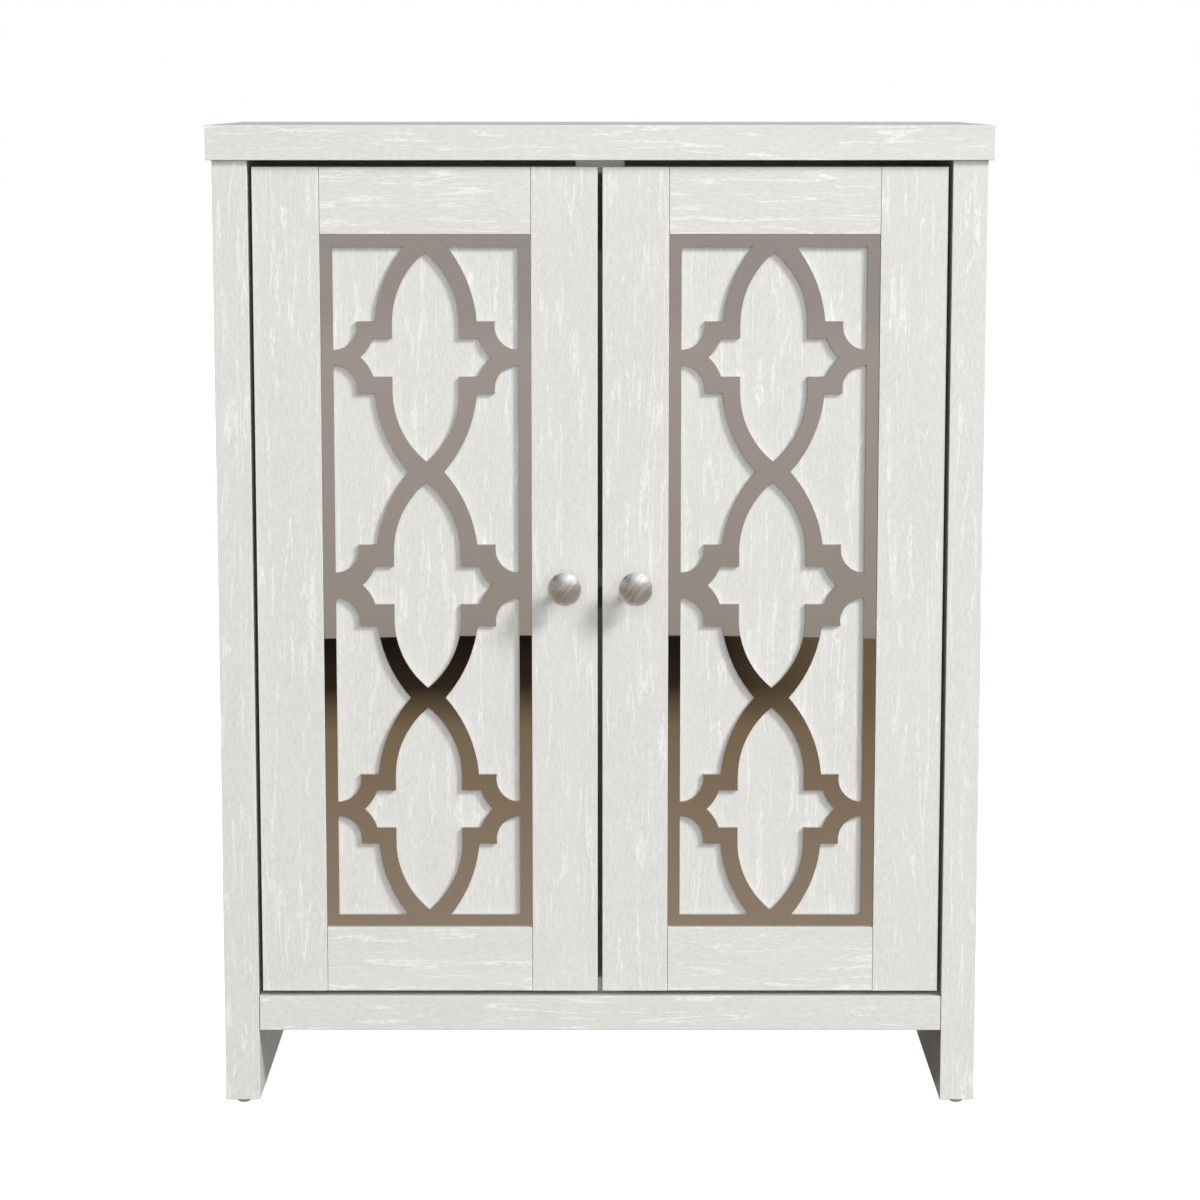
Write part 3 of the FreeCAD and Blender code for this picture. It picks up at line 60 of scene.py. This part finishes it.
# Directions from the object to its two lights: a broad soft box behind the camera, and the key.
FRONT_LIGHT = (0.0, -0.978, 0.208)
KEY_LIGHT = (0.658, -0.470, 0.588)


def linear(code):
    """Linear red, green, blue and alpha 1 of an sRGB hex code: c / 12.92 up to 0.04045, else
    ((c + 0.055) / 1.055) to the power 2.4."""
    srgb = np.array([int(code[start:start + 2], 16) for start in (1, 3, 5)]) / 255
    rgb = np.where(srgb <= 0.04045, srgb / 12.92, ((srgb + 0.055) / 1.055) ** 2.4)
    return (*rgb.tolist(), 1.0)


def add(tree, kind, inputs=None, **settings):
    """Adds one shader node with its own settings. Inputs go by socket name or number, and one that
    is another node's output is linked."""
    made = tree.nodes.new("ShaderNode" + kind)
    for name, value in settings.items():
        setattr(made, name, value)
    for key, value in (inputs or {}).items():
        if isinstance(value, bpy.types.NodeSocket):
            tree.links.new(value, made.inputs[key])
        else:
            made.inputs[key].default_value = value
    return made


def start_finish(name):
    """A new material and its empty node tree."""
    made = bpy.data.materials.new(name)
    made.use_nodes = True
    made.node_tree.nodes.clear()
    return made, made.node_tree


def end_finish(tree, **sockets):
    """Closes a node tree with a finish's one surface shader. Sockets go by name, with _ for a
    space."""
    named = {key.replace("_", " "): value for key, value in sockets.items()}
    surface = add(tree, "BsdfPrincipled", named)
    add(tree, "OutputMaterial", {"Surface": surface.outputs["BSDF"]})


def embossed_melamine(name, along, whiteness):
    """Melamine foil pressed with a limed oak grain: off-white and low in contrast, with faint
    dashes 1 mm wide and 6 mm long all over, a few whiter flecks, and a dull sheen that the pressing
    breaks up. A fleck is a thin line where a slow swell passes its middle value, broken into
    stretches of about 45 mm and frayed along its length. The whole grain wavers.
    It runs along the axis of that number, and whiteness is how far the flecks stand out."""
    made, tree = start_finish(name)
    place = add(tree, "TexCoord").outputs["Object"]

    def grain(across_mm, along_mm, detail, low, high, source=place):
        """Noise whose cells are that wide across the grain and that long along it, with its range
        from low to high drawn out to 0 to 1."""
        scale = [1 / (across_mm * MM)] * 3
        scale[along] = 1 / (along_mm * MM)
        stretched = add(tree, "Mapping", {"Vector": source, "Scale": scale})
        noise = add(tree, "TexNoise", {"Vector": stretched.outputs[0], "Scale": 1.0,
                                       "Detail": detail})
        drawn = add(tree, "MapRange", {"Value": noise.outputs["Fac"], "From Min": low,
                                       "From Max": high})
        return drawn.outputs[0]

    waver, middle, faintness = 10 * MM, 0.5, 0.34
    sway = add(tree, "Math", {0: grain(40, 150, 2.0, 0.25, 0.75), 1: waver}, operation="MULTIPLY")
    bent = add(tree, "VectorMath", {0: place, 1: sway.outputs[0]}, operation="ADD").outputs[0]

    dash = grain(1.0, 6, 1.0, 0.36, 0.66, bent)
    frayed = grain(1.1, 6, 1.0, 0.36, 0.54, bent)
    broken = grain(10, 45, 1.0, 0.46, 0.55, bent)
    swell = grain(8, 220, 1.0, 0.0, 1.0, bent)
    off = add(tree, "Math", {0: swell, 1: middle}, operation="SUBTRACT")
    away = add(tree, "Math", {0: off.outputs[0]}, operation="ABSOLUTE")
    line = add(tree, "MapRange", {"Value": away.outputs[0], "From Min": 0.010, "From Max": 0.045,
                                  "To Min": 1.0, "To Max": 0.0})
    stretch = add(tree, "Math", {0: line.outputs[0], 1: broken}, operation="MULTIPLY")
    fleck = add(tree, "Math", {0: stretch.outputs[0], 1: frayed}, operation="MULTIPLY")
    faint = add(tree, "Math", {0: dash, 1: faintness}, operation="MULTIPLY")
    pale = add(tree, "Math", {0: fleck.outputs[0], 1: whiteness, 2: faint.outputs[0]},
               operation="MULTIPLY_ADD", use_clamp=True).outputs[0]

    band = grain(30, 240, 2.0, 0.36, 0.64, bent)
    ground = add(tree, "Mix", {0: band, 6: linear("#d8d7d3"), 7: linear("#dbdad6")},
                 data_type="RGBA")
    flecked = add(tree, "Mix", {0: pale, 6: ground.outputs[2], 7: linear("#f5f4f0")},
                  data_type="RGBA")
    bump = add(tree, "Bump", {"Height": pale, "Strength": 0.5, "Distance": 0.08 * MM})
    dull = add(tree, "MapRange", {"Value": pale, "To Min": 0.36, "To Max": 0.27})
    end_finish(tree, Base_Color=flecked.outputs[2], Roughness=dull.outputs[0],
               Normal=bump.outputs[0], IOR=1.5)
    return made


def silvered_mirror(name):
    """Mirror sheet cut into the fret: a clear silver face, faintly uneven in gloss over 60 mm as
    sheet is, and sawn edges of dull grey where the silvering ends."""
    made, tree = start_finish(name)
    coords = add(tree, "TexCoord")
    facing = add(tree, "SeparateXYZ", {0: coords.outputs["Normal"]})
    front_normal = -0.9
    front = add(tree, "Math", {0: facing.outputs["Y"], 1: front_normal}, operation="LESS_THAN")
    smear = add(tree, "TexNoise", {"Vector": coords.outputs["Object"], "Scale": 1 / (60 * MM),
                                   "Detail": 3.0})
    gloss = add(tree, "MapRange", {"Value": smear.outputs["Fac"], "From Min": 0.3, "From Max": 0.7,
                                   "To Min": 0.004, "To Max": 0.014})
    rough = add(tree, "Mix", {0: front.outputs[0], 2: 0.5, 3: gloss.outputs[0]}, data_type="FLOAT")
    tone = add(tree, "Mix", {0: front.outputs[0], 6: linear("#a7a39c"), 7: linear("#f3f1ee")},
               data_type="RGBA")
    end_finish(tree, Base_Color=tone.outputs[2], Metallic=front.outputs[0],
               Roughness=rough.outputs[0])
    return made


def brushed_nickel(name):
    """Satin nickel brushed on the slant: pale metal with fine scratches that rise to the right and
    draw the light out across them, and a few broader bright strokes of the same brush. The
    scratches are 0.5 mm wide and 10 mm long, coarser than the real 0.1 mm, which would not show."""
    made, tree = start_finish(name)
    place = add(tree, "TexCoord").outputs["Object"]
    slant, shift, inward = math.radians(42), 2.2 * MM, 0.3

    def stroke(width_mm, length_mm, detail, low, high):
        """Noise drawn out along the slant, and by a share of that length into the depth, with its
        range from low to high drawn out to 0 to 1."""
        size = (width_mm * MM, inward * length_mm * MM, length_mm * MM)
        slanted = add(tree, "Mapping", {"Vector": place, "Location": (shift, 0.0, 0.0),
                                        "Rotation": (0.0, slant, 0.0), "Scale": size},
                      vector_type="TEXTURE")
        noise = add(tree, "TexNoise", {"Vector": slanted.outputs[0], "Scale": 1.0,
                                       "Detail": detail})
        drawn = add(tree, "MapRange", {"Value": noise.outputs["Fac"], "From Min": low,
                                       "From Max": high})
        return drawn.outputs[0]

    scratch = stroke(0.5, 10, 2.0, 0.4, 0.68)
    bright = stroke(1.8, 40, 1.0, 0.56, 0.64)
    satin = add(tree, "Mix", {0: scratch, 6: linear("#d6d6d5"), 7: linear("#f4f4f3")},
                data_type="RGBA")
    tone = add(tree, "Mix", {0: bright, 6: satin.outputs[2], 7: linear("#fefefd")},
               data_type="RGBA")
    gloss = add(tree, "MapRange", {"Value": scratch, "To Min": 0.38, "To Max": 0.28})
    fine = add(tree, "Bump", {"Height": scratch, "Strength": 0.5, "Distance": 0.05 * MM})
    bump = add(tree, "Bump", {"Height": bright, "Strength": 0.6, "Distance": 0.09 * MM,
                              "Normal": fine.outputs[0]})
    around = add(tree, "Tangent", direction_type="RADIAL", axis="Z")
    end_finish(tree, Base_Color=tone.outputs[2], Metallic=1.0, Roughness=gloss.outputs[0],
               Anisotropic=0.6, Anisotropic_Rotation=0.375, Tangent=around.outputs[0],
               Normal=bump.outputs[0])
    return made


def plated_metal(name, dark, light, smooth, rough, cloud_mm):
    """Plated steel: a bright thin coat over pressed or rolled steel, with soft cloudy patches of
    gloss and tone of about the given size."""
    made, tree = start_finish(name)
    place = add(tree, "TexCoord").outputs["Object"]
    cloud = add(tree, "TexNoise", {"Vector": place, "Scale": 1 / (cloud_mm * MM), "Detail": 4.0})
    share = add(tree, "MapRange", {"Value": cloud.outputs["Fac"], "From Min": 0.3, "From Max": 0.7})
    tone = add(tree, "Mix", {0: share.outputs[0], 6: linear(dark), 7: linear(light)},
               data_type="RGBA")
    gloss = add(tree, "MapRange", {"Value": share.outputs[0], "To Min": rough, "To Max": smooth})
    end_finish(tree, Base_Color=tone.outputs[2], Metallic=1.0, Roughness=gloss.outputs[0])
    return made


def moulded_plastic(name, dark, light, rough, pit_mm):
    """Moulded plastic: an even colour that clouds slightly over 20 mm, and the fine leathery grain
    of a spark-eroded mould. Pressed ferrite has the same even colour and fine pits."""
    made, tree = start_finish(name)
    place = add(tree, "TexCoord").outputs["Object"]
    cloud = add(tree, "TexNoise", {"Vector": place, "Scale": 1 / (20 * MM), "Detail": 2.0})
    tone = add(tree, "Mix", {0: cloud.outputs["Fac"], 6: linear(dark), 7: linear(light)},
               data_type="RGBA")
    pits = add(tree, "TexNoise", {"Vector": place, "Scale": 1 / (pit_mm * MM), "Detail": 2.0})
    bump = add(tree, "Bump", {"Height": pits.outputs["Fac"], "Strength": 0.4,
                              "Distance": 0.05 * MM})
    uneven = 0.08
    gloss = add(tree, "MapRange", {"Value": pits.outputs["Fac"], "To Min": rough - uneven,
                                   "To Max": rough + uneven})
    end_finish(tree, Base_Color=tone.outputs[2], Roughness=gloss.outputs[0], Normal=bump.outputs[0],
               IOR=1.47)
    return made


def painted_hardboard(name):
    """Hardboard: a smooth off-white painted face towards the shelves, and a bare brown back face
    where pressed wood fibres 1 to 4 mm long show in darker and paler flecks."""
    made, tree = start_finish(name)
    coords = add(tree, "TexCoord")
    facing = add(tree, "SeparateXYZ", {0: coords.outputs["Normal"]})
    inner_normal = -0.5
    painted = add(tree, "Math", {0: facing.outputs["Y"], 1: inner_normal}, operation="LESS_THAN")
    fibre = add(tree, "TexNoise", {"Vector": coords.outputs["Object"], "Scale": 1 / (2.5 * MM),
                                   "Detail": 5.0, "Distortion": 1.5})
    share = add(tree, "MapRange", {"Value": fibre.outputs["Fac"], "From Min": 0.35,
                                   "From Max": 0.65})
    bare = add(tree, "Mix", {0: share.outputs[0], 6: linear("#6b4c30"), 7: linear("#a07a52")},
               data_type="RGBA")
    paint = add(tree, "Mix", {0: share.outputs[0], 6: linear("#d6d4ce"), 7: linear("#dcdad5")},
                data_type="RGBA")
    tone = add(tree, "Mix", {0: painted.outputs[0], 6: bare.outputs[2], 7: paint.outputs[2]},
               data_type="RGBA")
    rough = add(tree, "Mix", {0: painted.outputs[0], 2: 0.8, 3: 0.5}, data_type="FLOAT")
    bump = add(tree, "Bump", {"Height": fibre.outputs["Fac"], "Strength": 0.3,
                              "Distance": 0.1 * MM})
    end_finish(tree, Base_Color=tone.outputs[2], Roughness=rough.outputs[0], Normal=bump.outputs[0],
               IOR=1.5)
    return made


def beech(name):
    """Steamed beech of the dowels: pinkish tan with short darker ray flecks, 0.5 mm wide and 3 mm
    long."""
    made, tree = start_finish(name)
    place = add(tree, "TexCoord").outputs["Object"]
    wide, long = 1 / (0.5 * MM), 1 / (3 * MM)
    stretched = add(tree, "Mapping", {"Vector": place, "Scale": (wide, wide, long)})
    ray = add(tree, "TexNoise", {"Vector": stretched.outputs[0], "Scale": 1.0, "Detail": 2.0})
    share = add(tree, "MapRange", {"Value": ray.outputs["Fac"], "From Min": 0.4, "From Max": 0.65})
    tone = add(tree, "Mix", {0: share.outputs[0], 6: linear("#a9794c"), 7: linear("#cda277")},
               data_type="RGBA")
    end_finish(tree, Base_Color=tone.outputs[2], Roughness=0.6, IOR=1.5)
    return made


FINISHES = {
    "laminate_across": embossed_melamine("embossed melamine, grain across", ACROSS, 0.72),
    "laminate_upright": embossed_melamine("embossed melamine, grain upright", UPRIGHT, 0.58),
    "back_board": painted_hardboard("painted hardboard"),
    "mirror_sheet": silvered_mirror("silvered mirror sheet"),
    "satin_nickel": brushed_nickel("brushed satin nickel"),
    "nickel_steel": plated_metal("nickel-plated pressed steel", "#d2d0cc", "#e6e4e0",
                                 smooth=0.24, rough=0.36, cloud_mm=5),
    "zinc_steel": plated_metal("zinc-plated steel", "#c2c5c9", "#dde0e3",
                               smooth=0.28, rough=0.42, cloud_mm=2.5),
    "catch_plastic": moulded_plastic("moulded off-white ABS", "#eeedea", "#f3f2ef",
                                     rough=0.45, pit_mm=0.6),
    "glide_plastic": moulded_plastic("moulded grey-brown nylon", "#b0a9a2", "#beb8b1",
                                     rough=0.5, pit_mm=0.6),
    "magnet": moulded_plastic("sintered ferrite", "#2b2a29", "#363433", rough=0.6, pit_mm=0.4),
    "dowel_wood": beech("beech rod"),
}
slot_of = {row["node"]: row["material_slot"] for row in frame["record"]["subparts"]}
for name, node in frame["nodes"].items():
    node.data.materials.clear()
    node.data.materials.append(FINISHES[slot_of[name]])


def grid_object(name, points, around=False):
    """An object over one or more grids of points, rows by columns by 3. Each face joins four
    neighbours, around joins the last column to the first, and points that meet become one."""
    rows, columns = points.shape[-3:-1]
    index = np.arange(points.size // 3).reshape(-1, rows, columns)
    after = np.roll(index, -1, axis=2) if around else index[:, :, 1:]
    here = index if around else index[:, :, :-1]
    corners = [here[:, :-1], after[:, :-1], after[:, 1:], here[:, 1:]]
    faces = np.stack(corners, axis=-1).reshape(-1, 4)
    mesh = bpy.data.meshes.new(name)
    mesh.from_pydata(points.reshape(-1, 3).tolist(), [], faces.tolist())
    welded = bmesh.new()
    welded.from_mesh(mesh)
    bmesh.ops.remove_doubles(welded, verts=welded.verts, dist=0.0001 * MM)
    welded.to_mesh(mesh)
    welded.free()
    made = bpy.data.objects.new(name, mesh)
    bpy.context.scene.collection.objects.link(made)
    return made


def open_seams(node, body, gap):
    """A CAD board over again with both ends drawn in by the gap, so that its butt joints show as
    the fine dark lines of the real ones: x moves towards 0 by the gap within 1 mm of each end."""
    mesh = frame["nodes"][node].data.copy()
    points = np.empty((len(mesh.vertices), 3), np.float32)
    mesh.vertices.foreach_get("co", points.ravel())
    across, end_depth = points[:, ACROSS], 1 * MM
    ends = np.abs(across) > np.abs(across).max() - end_depth
    across[ends] -= np.sign(across[ends]) * gap
    mesh.vertices.foreach_set("co", points.ravel())
    mesh.update()
    made = bpy.data.objects.new(f"{node}_seamed", mesh)
    bpy.context.scene.collection.objects.link(made)
    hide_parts(node)
    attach(made, body)


open_seams("bottom_panel", "cabinet", gap=0.5 * MM)


def wood_screw(length, cap):
    """Grid of one wood screw about its own Z axis, which points into the wood from the head's face.

    Rows run from the middle of the face over the rim and down the shank to the point, columns go
    round. The face sinks into a cross: deep where the nearer of |x| and |y| is small, and less so
    as the farther one grows. The shank's radius rises from the core to the crest of a thread, a
    ridge that climbs one pitch in each turn. With a cap the head is a plain disc of that height,
    and without one it narrows to the shank as a countersunk head does."""
    head, edge, shank, core = 3.3 * MM, 0.12 * MM, 1.7 * MM, 1.25 * MM
    pitch, flank, taper = 1.4 * MM, 0.3, 3.4 * MM
    recess, arm, wall, slope = 1.9 * MM, 0.42 * MM, 0.16 * MM, 0.55
    deepest, share_of_cap = 0.9 * MM, 0.75
    depth = min(deepest, share_of_cap * cap) if cap else deepest
    columns, shank_rows = 64, 64
    angle = np.linspace(0, 2 * np.pi, columns, endpoint=False)

    # Close rings over the recess, and two more towards the rim.
    face_radius = np.concatenate([np.linspace(0, 2.0, 17), [2.4, 3.0]])[:, None] * MM
    across = np.abs(face_radius * np.cos(angle))
    along = np.abs(face_radius * np.sin(angle))
    near, far = np.minimum(across, along), np.maximum(across, along)
    cross = np.clip((arm + wall - near) / wall, 0, 1)
    sunk = cross * np.clip((recess - far) / (slope * recess), 0, 1) * depth

    rim, neck = (cap, cap) if cap else (1.0 * MM, 2.0 * MM)
    side_radius = np.array([head - edge, head, head, shank])[:, None]
    side_height = np.array([0.0, edge, rim, neck])[:, None]

    shank_height = np.linspace(neck, length, shank_rows)[:, None]
    phase = np.mod(shank_height / pitch - angle / (2 * np.pi), 1)
    ridge = np.clip(1 - np.abs(phase - 0.5) / flank, 0, 1)
    slim = np.clip((length - shank_height) / taper, 0, 1)
    shank_radius = (core + (shank - core) * ridge) * slim

    def full(rows):
        """The same value all round each row."""
        return np.broadcast_to(rows, (len(rows), columns))

    radius = np.concatenate([full(face_radius), full(side_radius), shank_radius])
    height = np.concatenate([sunk, full(side_height), full(shank_height)])
    return np.stack([radius * np.cos(angle), radius * np.sin(angle), height], axis=-1)


def drive_screws(node, body, into, row, spacing=None, cap=None):
    """Screws in place of a plain CAD node, point first along the axis into. They stand in a row
    along another axis: at both ends of the node's box, and with a spacing also that far in from
    each end."""
    low, high = np.array(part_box(node))
    into = np.array(into)
    depth = int(np.abs(into).argmax())
    head = (high - low)[3 - depth - row] / 2
    ends = [low[row] + head, high[row] - head]
    inner = [] if spacing is None else [ends[0] + spacing, ends[1] - spacing]
    places = [ends[0], *inner, ends[1]]
    centres = np.tile((low + high) / 2, (len(places), 1))
    centres[:, depth] = low[depth] if into[depth] > 0 else high[depth]
    centres[:, row] = places
    sideways = np.eye(3)[row]
    axes = np.array([sideways, np.cross(into, sideways), into])
    screw = wood_screw((high - low)[depth], cap) @ axes
    made = grid_object(f"{node}_crossed", centres[:, None, None] + screw, around=True)
    made.data.shade_smooth()
    made.data.set_sharp_from_angle(angle=math.radians(35))
    made.data.materials.append(FINISHES["zinc_steel"])
    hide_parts(node)
    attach(made, body)


to_front, up, down = (0.0, -1.0, 0.0), (0.0, 0.0, 1.0), (0.0, 0.0, -1.0)
for side, outward in (("left", (-1.0, 0.0, 0.0)), ("right", (1.0, 0.0, 0.0))):
    door = f"{side}_door"
    drive_screws(f"{side}_cup_screws", door, to_front, UPRIGHT, spacing=45 * MM, cap=1.0 * MM)
    drive_screws(f"{side}_strike_screws", door, to_front, UPRIGHT, cap=1.2 * MM)
    drive_screws(f"{side}_plate_screws", "cabinet", outward, UPRIGHT, spacing=32 * MM)
drive_screws("upper_catch_screws", "cabinet", up, ACROSS)
drive_screws("lower_catch_screws", "cabinet", down, ACROSS)


def carried_round(radii, heights, angle):
    """Grid of a straight line from one radius and height to another, carried about the vertical
    axis."""
    return np.stack([np.outer(radii, np.cos(angle)), np.outer(radii, np.sin(angle)),
                     np.outer(heights, np.ones(len(angle)))], axis=-1)


def lit_card(name, radii, heights, arc, stops, right_stops=None):
    """A stage card round the object, between two angles in degrees. It shows in reflections alone,
    and its plain tone runs from stop to stop: by height on a wall, and by distance from the axis on
    a floor. Over a stretch to the right of the axis it may turn to other stops."""
    columns = 73
    angle = np.radians(np.linspace(*arc, columns))
    card = grid_object(name, carried_round(radii, heights, angle))
    made, tree = start_finish(name)
    place = add(tree, "TexCoord").outputs["Object"]
    parts = add(tree, "SeparateXYZ", {0: place})
    measure = parts.outputs["Z"]
    if heights[1] == 0:
        measure = add(tree, "VectorMath", {0: place}, operation="LENGTH").outputs["Value"]

    def tone_along(marks):
        """The tone at that measure, from mark to mark."""
        tone = linear(marks[0][1])
        for (low, _), (high, code) in zip(marks, marks[1:]):
            share = add(tree, "MapRange", {"Value": measure, "From Min": low, "From Max": high})
            tone = add(tree, "Mix", {0: share.outputs[0], 6: tone, 7: linear(code)},
                       data_type="RGBA").outputs[2]
        return tone

    tone = tone_along(stops)
    if right_stops:
        aside = add(tree, "MapRange", {"Value": parts.outputs["X"], "From Min": 0.18,
                                       "From Max": 0.40})
        tone = add(tree, "Mix", {0: aside.outputs[0], 6: tone, 7: tone_along(right_stops)},
                   data_type="RGBA").outputs[2]
    lit = add(tree, "Emission", {"Color": tone})
    add(tree, "OutputMaterial", {"Surface": lit.outputs[0]})
    card.data.materials.append(made)
    card.visible_camera = card.visible_diffuse = card.visible_shadow = False
    card.visible_transmission = card.visible_volume_scatter = False


def set_floor():
    """A plain pale floor, lit a little by itself so that it stays as pale as the air."""
    columns, middle, reach = 96, 0.001, 30.0
    angle = np.linspace(0, 2 * np.pi, columns, endpoint=False)
    points = carried_round((middle, reach), (0.0, 0.0), angle)
    floor = grid_object("pale floor", points, around=True)
    made, tree = start_finish("pale floor")
    end_finish(tree, Base_Color=linear("#f4f4f3"), Roughness=0.9, Specular_IOR_Level=0.0,
               Emission_Color=WHITE, Emission_Strength=0.92)
    floor.data.materials.append(made)
    floor.visible_glossy = floor.visible_diffuse = floor.visible_shadow = False


def set_reflections():
    """Plain dull tones for the mirror and the metal to reflect: a floor and a wall. The floor is
    brown in front of the cabinet, dark far out as a painted shadow except on the right, and pale
    grey elsewhere. Close to the cabinet it has a tone of its own, which the legs' inner faces pick
    up at a low angle; at the sides this tone is darker, a painted shade on those faces."""
    middle, near, reach, top = 0.02, 0.48, 2.64, 2.0
    # The dark stops far out in front are a painted shadow on the reflected floor; on the right the
    # floor stays brown.
    brown = ((0.5, "#978879"), (1.85, "#7a6953"), (2.18, "#30271e"), (2.6, "#1b1612"))
    light_brown = ((0.5, "#978879"), (1.85, "#7a6953"), (2.6, "#705f49"))
    grey = ((0.5, "#bdbab7"), (2.0, "#b0adaa"), (2.28, "#a5a29f"))
    upper = ((0.45, "#a69d99"), (0.5, "#9e9692"), (1.3, "#9e9692"), (1.4, "#b8b1aa"))
    # The close tones at the sides are darker than the floor beyond: painted shade that the legs'
    # inner faces pick up, darkest on the right.
    for where, arc, low, close_tone_and_shade, beyond, right in (
            ("front", (-165, -15), "#989089", "#9a8c81", brown, light_brown),
            ("right", (-15, 90), "#c4c1be", "#41352c", grey, grey),
            ("left", (90, 195), "#c4c1be", "#9c9996", grey, grey)):
        lit_card(f"{where} floor tones", (middle, reach), (0.0, 0.0), arc,
                 ((near, close_tone_and_shade), *beyond), ((near, close_tone_and_shade), *right))
        lit_card(f"{where} wall tones", (reach, reach), (0.0, top), arc, ((0.0, low), *upper))


def set_air():
    """Soft studio air, white to the eye. As light it is dim, more so below and to the left, with a
    broad glow in front that is brightest in its middle, as a large soft box behind the camera
    gives. Reflections see one wide glow round the key in place of that and of the key's own small
    disc."""
    world = bpy.data.worlds.new("studio air")
    bpy.context.scene.world = world
    world.use_nodes = True
    tree = world.node_tree
    tree.nodes.clear()
    way = add(tree, "TexCoord").outputs["Generated"]
    parts = add(tree, "SeparateXYZ", {0: way})
    above = add(tree, "MapRange", {"Value": parts.outputs["Z"], "From Min": -0.25, "From Max": 0.1})
    air = add(tree, "Mix", {0: above.outputs[0], 6: (0.045, 0.043, 0.04, 1.0),
                            7: (0.142, 0.142, 0.144, 1.0)}, data_type="RGBA")
    ahead = add(tree, "VectorMath", {0: way, 1: FRONT_LIGHT}, operation="DOT_PRODUCT")
    broad = add(tree, "MapRange", {"Value": ahead.outputs["Value"], "From Min": 0.55,
                                   "From Max": 0.88, "To Max": 0.71})
    bright = add(tree, "MapRange", {"Value": ahead.outputs["Value"], "From Min": 0.88,
                                    "From Max": 0.95, "To Max": 1.2})
    front = add(tree, "Math", {0: broad.outputs[0], 1: bright.outputs[0]}, operation="ADD")
    keyward = add(tree, "VectorMath", {0: way, 1: KEY_LIGHT}, operation="DOT_PRODUCT")
    glow = add(tree, "MapRange", {"Value": keyward.outputs["Value"], "From Min": 0.2,
                                  "From Max": 1.0, "To Max": 1.1})
    ray = add(tree, "LightPath").outputs
    light = add(tree, "Mix", {0: ray["Is Glossy Ray"], 2: front.outputs[0], 3: glow.outputs[0]},
                data_type="FLOAT")
    even = add(tree, "VectorMath", {0: air.outputs[2], 1: light.outputs[0]}, operation="ADD")
    aside = add(tree, "MapRange", {"Value": parts.outputs["X"], "From Min": -0.8, "From Max": 0.8,
                                   "To Min": 0.45, "To Max": 1.55})
    lit = add(tree, "VectorMath", {0: even.outputs[0], "Scale": aside.outputs[0]},
              operation="SCALE")
    tone = add(tree, "Mix", {0: ray["Is Camera Ray"], 6: lit.outputs[0], 7: WHITE},
               data_type="RGBA")
    backdrop = add(tree, "Background", {"Color": tone.outputs[2]})
    add(tree, "OutputWorld", {"Surface": backdrop.outputs[0]})


def set_lamp(name, place, width, watts, way):
    """A round soft lamp that shines against a direction."""
    lamp = bpy.data.lights.new(name, "AREA")
    lamp.shape, lamp.size, lamp.energy = "DISK", width, watts
    made = bpy.data.objects.new(name, lamp)
    made.location = place
    made.rotation_mode = "QUATERNION"
    made.rotation_quaternion = Vector(way).to_track_quat("Z", "Y")
    bpy.context.scene.collection.objects.link(made)
    return made


def set_stage():
    """The floor, the reflected tones, the soft air, the key lamp up to the right in front, and
    weaker lamps for the sides and back. Two very weak lamps inside stand for light that leaks in at
    the back, so that the gaps round the doors are dark grey and not black."""
    set_floor()
    set_reflections()
    set_air()
    doors_middle, key_distance = np.array([0.0, -0.13, 0.45]), 9.0
    key_place = (doors_middle + key_distance * np.array(KEY_LIGHT)).tolist()
    key = set_lamp("soft key", key_place, width=2.4, watts=720.0, way=KEY_LIGHT)
    key.visible_glossy = False
    fill_height, leak_depth = 0.4, 0.02
    for name, x, y, watts in (("left fill", -4.0, 0.7, 85.0), ("right fill", 4.0, 0.7, 16.0),
                              ("rear fill", 0.0, 4.2, 85.0)):
        set_lamp(name, (x, y, fill_height), width=0.7, watts=watts, way=(x, y, 0.0))
    for name, height in (("upper leak", 0.7), ("lower leak", 0.38)):
        set_lamp(name, (0.0, leak_depth, height), width=0.3, watts=0.022, way=up)


set_stage()

# The camera stands where the boards' edges put it.
lens = bpy.data.cameras.new("camera")
lens.lens, lens.sensor_width = 103.74, 36.0
camera = bpy.data.objects.new("camera", lens)
camera.location = (0.0, -2.9398, 0.8392)
camera.rotation_euler = (math.radians(81.62), 0.0, 0.0)
bpy.context.scene.collection.objects.link(camera)
bpy.context.scene.camera = camera
bpy.context.scene.view_settings.view_transform = "Standard"
